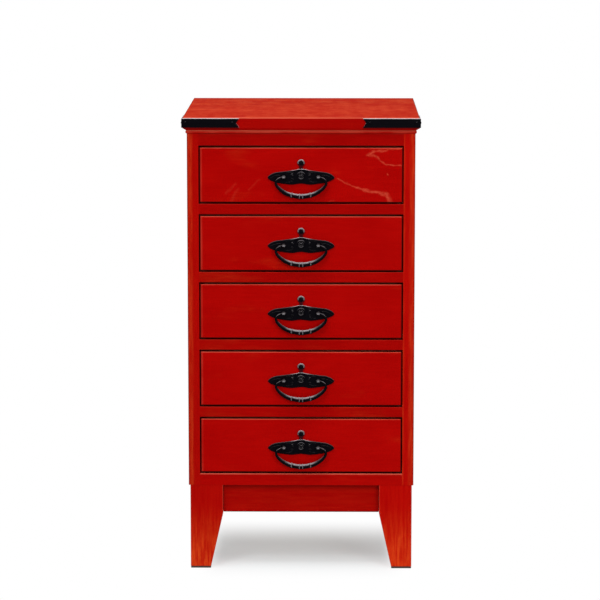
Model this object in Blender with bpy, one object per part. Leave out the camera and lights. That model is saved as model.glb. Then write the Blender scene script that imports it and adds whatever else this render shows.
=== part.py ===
"""Five-drawer chest in the East Asian style: red lacquered case, black iron fittings, tapered legs.

Metres, +Z up, front towards -Y, left and right as seen from the front.
The origin is on the floor, at the middle of the chest's footprint with its handles.
"""

import math

import bmesh
import bpy
from mathutils import Matrix, Vector

# Fits
FIT = 0.0003
BEYOND = 0.010

# Case
CASE_WIDTH = 0.434
CASE_DEPTH = 0.442
SIDE_THICKNESS = 0.022
BACK_THICKNESS = 0.006
BACK_REBATE = 0.008
HOUSING_DEPTH = 0.006
HOUSING_SETBACK = 0.012
DRAWER_COUNT = 5
OPENING_HEIGHT = 0.110
RAIL_HEIGHT = 0.021
TOP_RAIL_HEIGHT = 0.024
BOTTOM_BOARD_THICKNESS = 0.023
RAIL_DEPTH = 0.040
TONGUE_DEPTH = 0.006
TONGUE_THICKNESS = 0.007
STOP_WIDTH = 0.030
STOP_DEPTH = 0.012
STOP_HEIGHT = 0.005
STOP_OFFSET = 0.110

# Top board and its edge moulding
OVERHANG = 0.008
TOP_BAND = 0.020
CHAMFER_RISE = 0.0045
CHAMFER_INSET = 0.0064
BEAD_HEIGHT = 0.0065
BEAD_PROUD = 0.0023
BEAD_STEPS = 6

# Iron straps on the front corners of the top board
STRAP_HEIGHT = 0.018
STRAP_THICKNESS = 0.0015
STRAP_FRONT_LENGTH = 0.108
STRAP_SIDE_LENGTH = 0.070
STRAP_TOP_MARGIN = 0.0012
FISHTAIL_DEPTH = 0.006
NAIL_RADIUS = 0.0022
NAIL_HEIGHT = 0.0009
NAIL_FROM_CORNER = 0.008
NAIL_FROM_END = 0.013
HEAD_ROOT = 0.0008

# Leg frame
BASE_HEIGHT = 0.165
LEG_SIDE_INSET = 0.003
LEG_FACE_INSET = 0.0005
LEG_WIDTH = 0.062
FOOT_WIDTH = 0.038
FOOT_CHAMFER = 0.0015
LEG_TENON = 0.024
LEG_TENON_LENGTH = 0.010
LEG_TENON_EDGE = 0.010
APRON_HEIGHT = 0.056
APRON_THICKNESS = 0.020
APRON_SETBACK = 0.012
APRON_TENON = 0.012
APRON_SHOULDER = 0.008

# Drawers
GAP_SIDE = 0.0015
GAP_TOP = 0.0020
GAP_BOTTOM = 0.0020
FRONT_THICKNESS = 0.020
FRONT_LIP = 0.007
DRAWER_SIDE_THICKNESS = 0.010
DRAWER_BACK_THICKNESS = 0.010
DRAWER_BOTTOM_THICKNESS = 0.004
DRAWER_BOTTOM_RAISE = 0.007
DRAWER_SIDE_DROP = 0.005
DRAWER_BACK_DROP = 0.006
DRAWER_BACK_SETBACK = 0.012
DRAWER_REAR_CLEARANCE = 0.008
GROOVE_DEPTH = 0.004

# Handles: a flat plate with a round finial, two eye posts and a swinging bail
AXIS_DROP = 0.0035
AXIS_STANDOFF = 0.0085
PLATE_LENGTH = 0.128
PLATE_RISE = 0.0168
PLATE_FALL = 0.0146
PLATE_THICKNESS = 0.0020
FINIAL_CENTRE = 0.0276
FINIAL_RADIUS = 0.0072
FINIAL_NECK = 0.0086
BOSS_RADIUS = 0.010
BOSS_HEIGHT = 0.0026
BOSS_CENTRE = 0.0016
POST_SPACING = 0.066
POST_WIDTH = 0.005
EYE_RADIUS = 0.0040
PIN_RADIUS = 0.0017
PIN_TIP = 0.004
SHANK = 0.0036
SHANK_END = 0.002
BAIL_SPAN = 0.0932
BAIL_DROP = 0.0357
BAIL_SIDE_RADIUS = 0.0021
BAIL_MIDDLE_RADIUS = 0.0039

# Half of the plate's outline, as shares of its half length and of its rise or fall from the hinge axis
UPPER_CONTOUR = ((0.11, 0.94), (0.23, 0.80), (0.36, 0.73), (0.55, 0.63), (0.73, 0.54), (0.88, 0.28), (1.0, -0.07))
LOWER_CONTOUR = ((1.0, -0.08), (0.94, -0.36), (0.81, -0.62), (0.56, -0.87), (0.30, -1.0), (0.12, -0.92), (0.0, -0.86))

# Half of the bail's line, as shares of its half span and of its drop from the hinge axis
BAIL_CONTOUR = (
    (0.78, 0.0), (0.89, 0.07), (0.97, 0.17), (1.0, 0.28), (0.97, 0.38), (0.90, 0.49), (0.77, 0.64), (0.55, 0.82),
    (0.30, 0.93), (0.0, 1.0),
)

# Places that follow from the sizes above
handle_reach = AXIS_STANDOFF + BAIL_MIDDLE_RADIUS
strap_reach = OVERHANG + FIT + STRAP_THICKNESS + NAIL_HEIGHT
front = -(CASE_DEPTH - max(handle_reach, strap_reach)) / 2
back = front + CASE_DEPTH
half_case = CASE_WIDTH / 2
half_opening = half_case - SIDE_THICKNESS
opening_floors = [
    BASE_HEIGHT + BOTTOM_BOARD_THICKNESS + (DRAWER_COUNT - 1 - level) * (OPENING_HEIGHT + RAIL_HEIGHT)
    for level in range(DRAWER_COUNT)
]
kicker_floor = opening_floors[0] + OPENING_HEIGHT
case_top = kicker_floor + TOP_RAIL_HEIGHT
board_end = back - BACK_THICKNESS - FIT
half_front = half_opening - GAP_SIDE
drawer_length = CASE_DEPTH - BACK_THICKNESS - DRAWER_REAR_CLEARANCE
drawer_side_top = OPENING_HEIGHT - GAP_TOP - DRAWER_SIDE_DROP
drawer_floor = DRAWER_BOTTOM_RAISE + DRAWER_BOTTOM_THICKNESS
axis_height = OPENING_HEIGHT / 2 - AXIS_DROP
half_posts = POST_SPACING / 2

PLACE = {
    "X": lambda a, b, along: (along, a, b),
    "Y": lambda a, b, along: (a, along, b),
    "Z": lambda a, b, along: (a, b, along),
}


# Shapes, each added to a bmesh
def add_box(bm, low, high):
    """A box between two opposite corners, given in any order."""
    low, high = Vector(low), Vector(high)
    size = [abs(side) for side in high - low]
    bmesh.ops.create_cube(bm, size=1, matrix=Matrix.Translation((low + high) / 2) @ Matrix.Diagonal((*size, 1)))


def add_prism(bm, outline, axis, start, end):
    """A flat outline, given as pairs across the axis in X, Y, Z order, drawn out along that axis."""
    place = PLACE[axis]
    face = bm.faces.new([bm.verts.new(place(a, b, start)) for a, b in outline])
    drawn = bmesh.ops.extrude_face_region(bm, geom=[face])["geom"]
    moved = [part for part in drawn if isinstance(part, bmesh.types.BMVert)]
    bmesh.ops.translate(bm, vec=place(0, 0, end - start), verts=moved)


def add_stack(bm, rings):
    """A closed solid through rings with the same number of corners."""
    loops = [[bm.verts.new(point) for point in ring] for ring in rings]
    bm.faces.new(loops[0])
    bm.faces.new(loops[-1])
    for low, high in zip(loops, loops[1:]):
        for i in range(len(low)):
            j = (i + 1) % len(low)
            bm.faces.new((low[i], low[j], high[j], high[i]))


def add_dome(bm, centre, axis, radius, height, sides=12, steps=3):
    """A round head that stands out of a face along an axis, with its root a little way into that face."""
    turn = Vector((0, 0, 1)).rotation_difference(Vector(axis)).to_matrix()
    levels = [(radius, -HEAD_ROOT)]
    for step in range(steps):
        angle = math.pi / 2 * step / steps
        levels.append((radius * math.cos(angle), height * math.sin(angle)))
    rings = []
    for ring_radius, rise in levels:
        corners = [2 * math.pi * k / sides for k in range(sides)]
        points = [Vector((ring_radius * math.cos(a), ring_radius * math.sin(a), rise)) for a in corners]
        rings.append([turn @ point + Vector(centre) for point in points])
    add_stack(bm, rings)


def add_rod(bm, start, end, radius, sides=16):
    """A straight round rod along X."""
    outline = [
        (start[1] + radius * math.cos(2 * math.pi * k / sides), start[2] + radius * math.sin(2 * math.pi * k / sides))
        for k in range(sides)
    ]
    add_prism(bm, outline, "X", start[0], end[0])


# Objects and materials
def finish(name, colour, roughness, metallic=0.0):
    material = bpy.data.materials.new(name)
    material.use_nodes = True
    shader = material.node_tree.nodes["Principled BSDF"]
    shader.inputs["Base Color"].default_value = (*colour, 1)
    shader.inputs["Roughness"].default_value = roughness
    shader.inputs["Metallic"].default_value = metallic
    return material


def shape(fill):
    """A mesh from a function that fills a bmesh, with its faces turned outwards."""
    bm = bmesh.new()
    fill(bm)
    bmesh.ops.recalc_face_normals(bm, faces=bm.faces)
    mesh = bpy.data.meshes.new("shape")
    bm.to_mesh(mesh)
    bm.free()
    return mesh


def solid(fill, *steps):
    """One piece: a filled shape, then (operation, fill) steps that unite other shapes with it or cut them out."""
    piece = bpy.data.objects.new("piece", shape(fill))
    bpy.context.scene.collection.objects.link(piece)
    tools = []
    for operation, tool_fill in steps:
        tool = bpy.data.objects.new("tool", shape(tool_fill))
        bpy.context.scene.collection.objects.link(tool)
        tools.append(tool)
        modifier = piece.modifiers.new(operation, "BOOLEAN")
        modifier.operation = operation
        modifier.object = tool
    bpy.context.view_layer.update()
    graph = bpy.context.evaluated_depsgraph_get()
    mesh = bpy.data.meshes.new_from_object(piece.evaluated_get(graph))
    for obj in [piece, *tools]:
        bpy.data.objects.remove(obj)
    return mesh


def place(name, data, material, parent=None, location=(0, 0, 0)):
    """A named object in the scene that shows a mesh or a curve."""
    if not data.materials:
        data.materials.append(material)
    obj = bpy.data.objects.new(name, data)
    bpy.context.scene.collection.objects.link(obj)
    obj.parent = parent
    obj.location = location
    return obj


def empty(name, location):
    obj = bpy.data.objects.new(name, None)
    bpy.context.scene.collection.objects.link(obj)
    obj.location = location
    return obj


def rounded(mesh, sharp_degrees=40):
    mesh.shade_smooth()
    mesh.set_sharp_from_angle(angle=math.radians(sharp_degrees))
    return mesh


# Case
def housed_outline(depth_end):
    """The plan of a board whose ends sit in the sides' housings, with its front corners cut back to the opening."""
    narrow = half_opening - FIT
    wide = half_opening + HOUSING_DEPTH - FIT
    shoulder = front + HOUSING_SETBACK + FIT
    right = [(narrow, front), (narrow, shoulder), (wide, shoulder), (wide, depth_end)]
    return right + [(-x, y) for x, y in reversed(right)]


def side_panel(side):
    """A case side with housings for the rails and boards, and a rebate for the back panel."""

    def panel(bm):
        add_box(bm, (side * half_opening, front, BASE_HEIGHT), (side * half_case, back, case_top))

    def housings(bm):
        floors = [(floor - RAIL_HEIGHT, floor) for floor in opening_floors[:-1]]
        spans = [(low - FIT, high + FIT) for low, high in floors]
        spans.append((BASE_HEIGHT - BEYOND, BASE_HEIGHT + BOTTOM_BOARD_THICKNESS + FIT))
        spans.append((kicker_floor - FIT, case_top + BEYOND))
        for low, high in spans:
            inner = side * (half_opening - BEYOND)
            outer = side * (half_opening + HOUSING_DEPTH)
            add_box(bm, (inner, front + HOUSING_SETBACK, low), (outer, back + BEYOND, high))

    def rebate(bm):
        inner = side * (half_opening - BEYOND)
        outer = side * (half_opening + BACK_REBATE)
        edge = back - BACK_THICKNESS - FIT
        add_box(bm, (inner, edge, BASE_HEIGHT - BEYOND), (outer, back + BEYOND, case_top + BEYOND))

    return solid(panel, ("DIFFERENCE", housings), ("DIFFERENCE", rebate))


def back_panel():
    half = half_opening + BACK_REBATE - FIT
    return solid(lambda bm: add_box(bm, (-half, back - BACK_THICKNESS, BASE_HEIGHT), (half, back, case_top)))


def add_stops(bm, floor):
    """Two blocks that stop a closing drawer at the back of its front board."""
    near = front + FRONT_THICKNESS + FIT
    for side in (-1, 1):
        middle = side * STOP_OFFSET
        low = (middle - STOP_WIDTH / 2, near, floor - STOP_HEIGHT)
        add_box(bm, low, (middle + STOP_WIDTH / 2, near + STOP_DEPTH, floor + STOP_HEIGHT))


def rail(low, high, has_stops):
    """A front rail between two heights, grooved behind for its board, with drawer stops on top where it has a drawer."""
    middle = (low + high) / 2
    groove = TONGUE_THICKNESS / 2 + FIT
    rear = front + RAIL_DEPTH

    def body(bm):
        add_prism(bm, housed_outline(rear), "Z", low, high)

    def slot(bm):
        near = rear - TONGUE_DEPTH - FIT
        add_box(bm, (-half_case, near, middle - groove), (half_case, rear + BEYOND, middle + groove))

    steps = [("DIFFERENCE", slot)]
    if has_stops:
        steps.append(("UNION", lambda bm: add_stops(bm, high)))
    return solid(body, *steps)


def board(low, high):
    """A full-depth board behind a rail, tongued into it, that carries one drawer and keeps the next one level."""
    middle = (low + high) / 2
    near = front + RAIL_DEPTH + FIT
    tip = near - TONGUE_DEPTH
    tongue = TONGUE_THICKNESS / 2
    profile = [(near, low), (board_end, low), (board_end, high), (near, high)]
    profile += [(near, middle + tongue), (tip, middle + tongue), (tip, middle - tongue), (near, middle - tongue)]
    half = half_opening + HOUSING_DEPTH - FIT
    return solid(lambda bm: add_prism(bm, profile, "X", -half, half))


def bottom_board():
    """The case's floor: its front edge shows as the lowest rail, and its underside is mortised for the legs."""

    def body(bm):
        add_prism(bm, housed_outline(board_end), "Z", BASE_HEIGHT, opening_floors[-1])

    def mortises(bm):
        half = LEG_TENON / 2 + FIT
        for x, y in leg_tenon_centres().values():
            top = BASE_HEIGHT + LEG_TENON_LENGTH + FIT
            add_box(bm, (x - half, y - half, BASE_HEIGHT - BEYOND), (x + half, y + half, top))

    return solid(body, ("DIFFERENCE", mortises), ("UNION", lambda bm: add_stops(bm, opening_floors[-1])))


def top_board():
    """The top with its edge moulding on the front and sides: bead, quirk, chamfer and upright band."""
    half = half_case + OVERHANG
    near = front - OVERHANG
    nose = OVERHANG - BEAD_PROUD
    levels = []
    for step in range(BEAD_STEPS + 1):
        angle = math.pi * (step / BEAD_STEPS - 0.5)
        inset = nose + BEAD_PROUD * (1 - math.cos(angle))
        levels.append((inset, BEAD_HEIGHT / 2 * (1 + math.sin(angle))))
    levels.append((CHAMFER_INSET, BEAD_HEIGHT))
    levels.append((0, BEAD_HEIGHT + CHAMFER_RISE))
    levels.append((0, BEAD_HEIGHT + CHAMFER_RISE + TOP_BAND))

    def ring(inset, rise):
        x, y, z = half - inset, near + inset, case_top + FIT + rise
        return [(-x, y, z), (x, y, z), (x, back, z), (-x, back, z)]

    return solid(lambda bm: add_stack(bm, [ring(*level) for level in levels]))


# Corner straps
def corner_strap(side):
    """An iron strap bent round a front corner of the top, fishtailed at both ends and nailed."""
    inner_x = half_case + OVERHANG + FIT
    inner_y = front - OVERHANG - FIT
    outer_x, outer_y = inner_x + STRAP_THICKNESS, inner_y - STRAP_THICKNESS
    end_x = half_case + OVERHANG - STRAP_FRONT_LENGTH
    end_y = front - OVERHANG + STRAP_SIDE_LENGTH
    high = case_top + FIT + BEAD_HEIGHT + CHAMFER_RISE + TOP_BAND - STRAP_TOP_MARGIN
    low = high - STRAP_HEIGHT
    middle = (low + high) / 2

    def strip(bm):
        plan = [(end_x, outer_y), (outer_x, outer_y), (outer_x, end_y), (inner_x, end_y), (inner_x, inner_y), (end_x, inner_y)]
        add_prism(bm, [(side * x, y) for x, y in plan], "Z", low, high)

    def fishtails(bm):
        reach = STRAP_HEIGHT / 2
        tail_x = [(end_x - BEYOND, middle - reach), (end_x, middle - reach), (end_x + FISHTAIL_DEPTH, middle)]
        tail_x += [(end_x, middle + reach), (end_x - BEYOND, middle + reach)]
        add_prism(bm, [(side * x, z) for x, z in tail_x], "Y", outer_y - BEYOND, inner_y + BEYOND)
        tail_y = [(end_y + BEYOND, middle - reach), (end_y, middle - reach), (end_y - FISHTAIL_DEPTH, middle)]
        tail_y += [(end_y, middle + reach), (end_y + BEYOND, middle + reach)]
        add_prism(bm, tail_y, "X", side * (inner_x - BEYOND), side * (outer_x + BEYOND))

    def nails(bm):
        for x in (outer_x - NAIL_FROM_CORNER, end_x + NAIL_FROM_END):
            add_dome(bm, (side * x, outer_y, middle), (0, -1, 0), NAIL_RADIUS, NAIL_HEIGHT, sides=8, steps=2)
        for y in (outer_y + NAIL_FROM_CORNER, end_y - NAIL_FROM_END):
            add_dome(bm, (side * outer_x, y, middle), (side, 0, 0), NAIL_RADIUS, NAIL_HEIGHT, sides=8, steps=2)

    return solid(strip, ("DIFFERENCE", fishtails), ("UNION", nails))


# Leg frame
LEG_SIGNS = {
    "front_left": (-1, -1),
    "front_right": (1, -1),
    "rear_left": (-1, 1),
    "rear_right": (1, 1),
}


def leg_corner(across, along):
    """The outer corner of a leg in plan: across is its side of the chest, along its front or rear."""
    y = front + LEG_FACE_INSET if along < 0 else back - LEG_SIDE_INSET
    return across * (half_case - LEG_SIDE_INSET), y


def leg_tenon_centres():
    centres = {}
    for name, (across, along) in LEG_SIGNS.items():
        x, y = leg_corner(across, along)
        inward = LEG_WIDTH - LEG_TENON_EDGE - LEG_TENON / 2
        centres[name] = (x - across * inward, y - along * inward)
    return centres


def leg(name):
    """A square leg, upright down to the aprons' lower edge and then tapered on its two inner faces."""
    across, along = LEG_SIGNS[name]
    corner_x, corner_y = leg_corner(across, along)
    tenon_x, tenon_y = leg_tenon_centres()[name]
    taper = BASE_HEIGHT - APRON_HEIGHT

    def ring(width, z, chamfer=0):
        x0, x1 = corner_x - across * chamfer, corner_x - across * (width - chamfer)
        y0, y1 = corner_y - along * chamfer, corner_y - along * (width - chamfer)
        return [(x0, y0, z), (x1, y0, z), (x1, y1, z), (x0, y1, z)]

    def tenon_ring(z):
        dx, dy = across * LEG_TENON / 2, along * LEG_TENON / 2
        x0, x1, y0, y1 = tenon_x + dx, tenon_x - dx, tenon_y + dy, tenon_y - dy
        return [(x0, y0, z), (x1, y0, z), (x1, y1, z), (x0, y1, z)]

    def body(bm):
        shoulder = BASE_HEIGHT - FIT
        rings = [ring(FOOT_WIDTH, 0, FOOT_CHAMFER), ring(FOOT_WIDTH, FOOT_CHAMFER), ring(LEG_WIDTH, taper)]
        rings += [ring(LEG_WIDTH, shoulder), tenon_ring(shoulder), tenon_ring(BASE_HEIGHT + LEG_TENON_LENGTH)]
        add_stack(bm, rings)

    def mortises(bm):
        near, far = APRON_SETBACK - FIT, APRON_SETBACK + APRON_THICKNESS + FIT
        deep = LEG_WIDTH - APRON_TENON - FIT
        open_end = LEG_WIDTH + BEYOND
        low, high = taper + APRON_SHOULDER - FIT, BASE_HEIGHT - FIT - APRON_SHOULDER + FIT
        x, y = lambda inset: corner_x - across * inset, lambda inset: corner_y - along * inset
        add_box(bm, (x(deep), y(near), low), (x(open_end), y(far), high))
        add_box(bm, (x(near), y(deep), low), (x(far), y(open_end), high))

    return solid(body, ("DIFFERENCE", mortises))


def apron_outline(start, end):
    """An apron's face between two legs, with a tenon at each end, as pairs of length and height."""
    low, high = BASE_HEIGHT - APRON_HEIGHT, BASE_HEIGHT - FIT
    tenon_low, tenon_high = low + APRON_SHOULDER, high - APRON_SHOULDER
    tip = APRON_TENON - FIT
    left = [(start + FIT, high), (start + FIT, tenon_high), (start - tip, tenon_high)]
    left += [(start - tip, tenon_low), (start + FIT, tenon_low), (start + FIT, low)]
    right = [(end - FIT, low), (end - FIT, tenon_low), (end + tip, tenon_low)]
    right += [(end + tip, tenon_high), (end - FIT, tenon_high), (end - FIT, high)]
    return left + right


def long_apron(along):
    """The apron between the two front legs, or the two rear ones."""
    x, y = leg_corner(1, along)
    inner = x - LEG_WIDTH
    face = y - along * APRON_SETBACK
    return solid(lambda bm: add_prism(bm, apron_outline(-inner, inner), "Y", face, face - along * APRON_THICKNESS))


def side_apron(across):
    """The apron between the front and rear legs of one side."""
    x, near = leg_corner(across, -1)
    far = leg_corner(across, 1)[1]
    face = x - across * APRON_SETBACK
    outline = apron_outline(near + LEG_WIDTH, far - LEG_WIDTH)
    return solid(lambda bm: add_prism(bm, outline, "X", face, face - across * APRON_THICKNESS))


# Drawers, about the middle of the opening's lower front edge
def drawer_front():
    """The front board, rebated at its ends for the sides, grooved for the bottom and bored for the handle's shanks."""
    inner = half_front - DRAWER_SIDE_THICKNESS - FIT

    def body(bm):
        right = [(half_front, 0), (half_front, FRONT_LIP), (inner, FRONT_LIP), (inner, FRONT_THICKNESS)]
        plan = right + [(-x, y) for x, y in reversed(right)]
        add_prism(bm, plan, "Z", GAP_BOTTOM, OPENING_HEIGHT - GAP_TOP)

    def cuts(bm):
        low, high = DRAWER_BOTTOM_RAISE - FIT, drawer_floor + FIT
        near = FRONT_THICKNESS - GROOVE_DEPTH - FIT
        add_box(bm, (-half_case, near, low), (half_case, FRONT_THICKNESS + BEYOND, high))
        hole = SHANK / 2 + FIT
        for x in (-half_posts, half_posts):
            corner = (x - hole, -BEYOND, axis_height - hole)
            add_box(bm, corner, (x + hole, FRONT_THICKNESS + BEYOND, axis_height + hole))

    return solid(body, ("DIFFERENCE", cuts))


def drawer_side(side):
    """A side board that runs on its lower edge, grooved for the bottom and housed for the back."""
    outer, inner = half_front, half_front - DRAWER_SIDE_THICKNESS
    groove = inner + GROOVE_DEPTH

    def body(bm):
        low, high = DRAWER_BOTTOM_RAISE - FIT, drawer_floor + FIT
        section = [(outer, FIT), (outer, drawer_side_top), (inner, drawer_side_top), (inner, high)]
        section += [(groove, high), (groove, low), (inner, low), (inner, FIT)]
        add_prism(bm, [(side * x, z) for x, z in section], "Y", FRONT_LIP + FIT, drawer_length)

    def housing(bm):
        far = drawer_length - DRAWER_BACK_SETBACK + FIT
        near = far - DRAWER_BACK_THICKNESS - 2 * FIT
        low = (side * (inner - BEYOND), near, drawer_floor)
        add_box(bm, low, (side * groove, far, drawer_side_top + BEYOND))

    return solid(body, ("DIFFERENCE", housing))


def drawer_back():
    half = half_front - DRAWER_SIDE_THICKNESS + GROOVE_DEPTH - FIT
    far = drawer_length - DRAWER_BACK_SETBACK
    low = (-half, far - DRAWER_BACK_THICKNESS, drawer_floor + 2 * FIT)
    return solid(lambda bm: add_box(bm, low, (half, far, drawer_side_top - DRAWER_BACK_DROP)))


def drawer_bottom():
    half = half_front - DRAWER_SIDE_THICKNESS + GROOVE_DEPTH - FIT
    near = FRONT_THICKNESS - GROOVE_DEPTH
    far = drawer_length - DRAWER_BACK_SETBACK
    return solid(lambda bm: add_box(bm, (-half, near, DRAWER_BOTTOM_RAISE), (half, far, drawer_floor)))


# Handles, about the middle of the hinge axis
def smooth_through(points, samples=3):
    """Points along a smooth curve through the given ones, which are kept."""
    ends = [points[0], *points, points[-1]]
    curve = []
    for before, start, end, after in zip(ends, ends[1:], ends[2:], ends[3:]):
        for k in range(samples):
            t = k / samples
            pull = [
                0.5 * (2 * b + (c - a) * t + (2 * a - 5 * b + 4 * c - d) * t**2 + (3 * b - a - 3 * c + d) * t**3)
                for a, b, c, d in zip(before, start, end, after)
            ]
            curve.append(tuple(pull))
    return [*curve, points[-1]]


def plate_outline(finial_steps=7):
    """The plate from the front: a long pointed leaf with a round finial on its crown."""
    half = PLATE_LENGTH / 2
    neck = FINIAL_NECK / 2
    meeting = -math.acos(neck / FINIAL_RADIUS)
    right = []
    for step in range(finial_steps + 1):
        angle = math.pi / 2 + (meeting - math.pi / 2) * step / finial_steps
        right.append((FINIAL_RADIUS * math.cos(angle), FINIAL_CENTRE + FINIAL_RADIUS * math.sin(angle)))
    right.append((neck, PLATE_RISE))
    right += smooth_through([(half * x, PLATE_RISE * z) for x, z in UPPER_CONTOUR])[:-1]
    right += smooth_through([(half * x, PLATE_FALL * z) for x, z in LOWER_CONTOUR])
    left = [(-x, z) for x, z in reversed(right[1:-1])]
    return right + left


def handle_plate():
    """The plate with its raised boss and nail, and the two posts whose eyes hold the bail."""
    rear = AXIS_STANDOFF - FIT
    face = rear - PLATE_THICKNESS
    stem = EYE_RADIUS * 0.8

    def plate(bm):
        add_prism(bm, plate_outline(), "Y", face, rear)

    def fittings(bm):
        add_dome(bm, (0, face, BOSS_CENTRE), (0, -1, 0), BOSS_RADIUS, BOSS_HEIGHT, sides=20, steps=4)
        add_dome(bm, (0, face, FINIAL_CENTRE), (0, -1, 0), FINIAL_RADIUS * 0.5, BOSS_HEIGHT / 2)
        for x in (-half_posts, half_posts):
            near, far = x - POST_WIDTH / 2, x + POST_WIDTH / 2
            outline = [(face + PLATE_THICKNESS / 2, -stem), (face + PLATE_THICKNESS / 2, stem)]
            for step in range(9):
                angle = math.radians(55 + 250 * step / 8)
                outline.append((EYE_RADIUS * math.cos(angle), EYE_RADIUS * math.sin(angle)))
            add_prism(bm, outline, "X", near, far)

    def shanks(bm):
        end = AXIS_STANDOFF + FRONT_THICKNESS + SHANK_END
        for x in (-half_posts, half_posts):
            low = (x - SHANK / 2, rear - PLATE_THICKNESS / 2, -SHANK / 2)
            add_box(bm, low, (x + SHANK / 2, end, SHANK / 2))

    def eyes(bm):
        end = half_posts + POST_WIDTH
        add_rod(bm, (-end, 0, 0), (end, 0, 0), PIN_RADIUS + 1.3 * FIT)

    return rounded(solid(plate, ("UNION", fittings), ("UNION", shanks), ("DIFFERENCE", eyes)))


def bail_points():
    """The bail's line as (x, z, radius): pins in the eyes, turned-down shoulders and a long hanging sweep."""
    half = BAIL_SPAN / 2
    right = [(half * across, -BAIL_DROP * down) for across, down in BAIL_CONTOUR]
    left = [(-x, z) for x, z in reversed(right[:-1])]
    line = []
    for x, z in smooth_through(right + left, samples=2):
        down = -z / BAIL_DROP
        radius = PIN_RADIUS + (BAIL_SIDE_RADIUS - PIN_RADIUS) * min(1, 4 * down)
        radius += (BAIL_MIDDLE_RADIUS - BAIL_SIDE_RADIUS) * max(0, down - 0.25) / 0.75
        line.append((x, z, radius))
    tip = half_posts - PIN_TIP
    return [(tip, 0, PIN_RADIUS), *line, (-tip, 0, PIN_RADIUS)]


def bail_curve():
    """The bail as a round bar that swells towards its middle."""
    points = bail_points()
    curve = bpy.data.curves.new("bail", "CURVE")
    curve.dimensions = "3D"
    curve.bevel_depth = PIN_RADIUS
    curve.bevel_resolution = 2
    curve.use_fill_caps = True
    spline = curve.splines.new("POLY")
    spline.points.add(len(points) - 1)
    for point, (x, z, radius) in zip(spline.points, points):
        point.co = (x, 0, z, 1)
        point.radius = radius / PIN_RADIUS
    return curve


def clear_scene():
    for obj in list(bpy.data.objects):
        bpy.data.objects.remove(obj)


def build_case(lacquer, iron, bare):
    place("left_side_panel", side_panel(-1), lacquer)
    place("right_side_panel", side_panel(1), lacquer)
    place("back_panel", back_panel(), bare)
    place("bottom_board", bottom_board(), lacquer)
    place("top_board", top_board(), lacquer)
    place("top_rail", rail(kicker_floor, case_top, has_stops=False), lacquer)
    place("kicker_board", board(kicker_floor, case_top), bare)
    for number, floor in enumerate(opening_floors[:-1], start=1):
        place(f"divider_rail_{number}", rail(floor - RAIL_HEIGHT, floor, has_stops=True), lacquer)
        place(f"dust_board_{number}", board(floor - RAIL_HEIGHT, floor), bare)
    place("left_corner_strap", corner_strap(-1), iron)
    place("right_corner_strap", corner_strap(1), iron)


def build_base(lacquer):
    for name in LEG_SIGNS:
        place(f"{name}_leg", leg(name), lacquer)
    place("front_apron", long_apron(-1), lacquer)
    place("rear_apron", long_apron(1), lacquer)
    place("left_apron", side_apron(-1), lacquer)
    place("right_apron", side_apron(1), lacquer)


def build_drawers(lacquer, iron, bare):
    pieces = {
        "front": (drawer_front(), lacquer),
        "left_side": (drawer_side(-1), bare),
        "right_side": (drawer_side(1), bare),
        "back": (drawer_back(), bare),
        "bottom": (drawer_bottom(), bare),
    }
    plate, bail = handle_plate(), bail_curve()
    axis = (0, -AXIS_STANDOFF, axis_height)
    for number, floor in enumerate(opening_floors, start=1):
        drawer = empty(f"drawer_{number}", (0, front, floor))
        for name, (mesh, material) in pieces.items():
            place(f"drawer_{number}_{name}", mesh, material, drawer)
        place(f"drawer_{number}_handle_plate", plate, iron, drawer, axis)
        place(f"drawer_{number}_bail", bail, iron, drawer, axis)


def main():
    clear_scene()
    lacquer = finish("red_lacquer", (0.36, 0.012, 0.008), 0.35)
    iron = finish("black_iron", (0.012, 0.012, 0.015), 0.45, metallic=0.8)
    bare = finish("drawer_wood", (0.62, 0.46, 0.29), 0.6)
    build_case(lacquer, iron, bare)
    build_base(lacquer)
    build_drawers(lacquer, iron, bare)


main()
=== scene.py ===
# %% [markdown]
# # A red lacquered chest of five drawers
# This lesson dresses a measured model of a small chest. The measured model already knows where every
# board sits, which drawer slides and which handle swings. What it lacks is the look: eased edges, a
# moulded top, ornamented iron and a lacquer that has been handled for years. Each step below makes one
# of these, and hands it to the body that carries it.

# %% Load the measured chest
import math

import bmesh
import bpy
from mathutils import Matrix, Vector


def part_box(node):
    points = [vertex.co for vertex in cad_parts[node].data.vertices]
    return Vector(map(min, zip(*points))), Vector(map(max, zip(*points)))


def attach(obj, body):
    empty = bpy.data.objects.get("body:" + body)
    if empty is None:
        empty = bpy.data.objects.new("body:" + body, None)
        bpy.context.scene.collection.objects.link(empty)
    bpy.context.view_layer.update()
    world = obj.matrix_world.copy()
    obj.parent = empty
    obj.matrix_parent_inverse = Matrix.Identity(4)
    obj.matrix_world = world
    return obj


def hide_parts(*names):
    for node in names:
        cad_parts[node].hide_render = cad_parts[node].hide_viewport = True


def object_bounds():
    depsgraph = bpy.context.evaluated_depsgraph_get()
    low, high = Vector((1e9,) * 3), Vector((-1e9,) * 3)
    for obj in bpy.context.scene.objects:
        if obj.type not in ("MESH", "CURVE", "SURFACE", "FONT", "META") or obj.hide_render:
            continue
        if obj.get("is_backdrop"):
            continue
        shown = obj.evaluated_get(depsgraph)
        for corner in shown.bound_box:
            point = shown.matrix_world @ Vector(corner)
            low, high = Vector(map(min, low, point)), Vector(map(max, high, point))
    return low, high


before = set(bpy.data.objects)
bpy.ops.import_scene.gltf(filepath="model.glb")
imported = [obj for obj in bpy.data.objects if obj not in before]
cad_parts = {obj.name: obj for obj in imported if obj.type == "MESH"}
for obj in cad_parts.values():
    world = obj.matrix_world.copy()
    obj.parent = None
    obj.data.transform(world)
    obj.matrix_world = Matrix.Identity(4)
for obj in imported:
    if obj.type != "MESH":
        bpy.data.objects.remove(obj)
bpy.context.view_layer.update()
scene = bpy.context.scene
drawers = range(1, 6)

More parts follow.
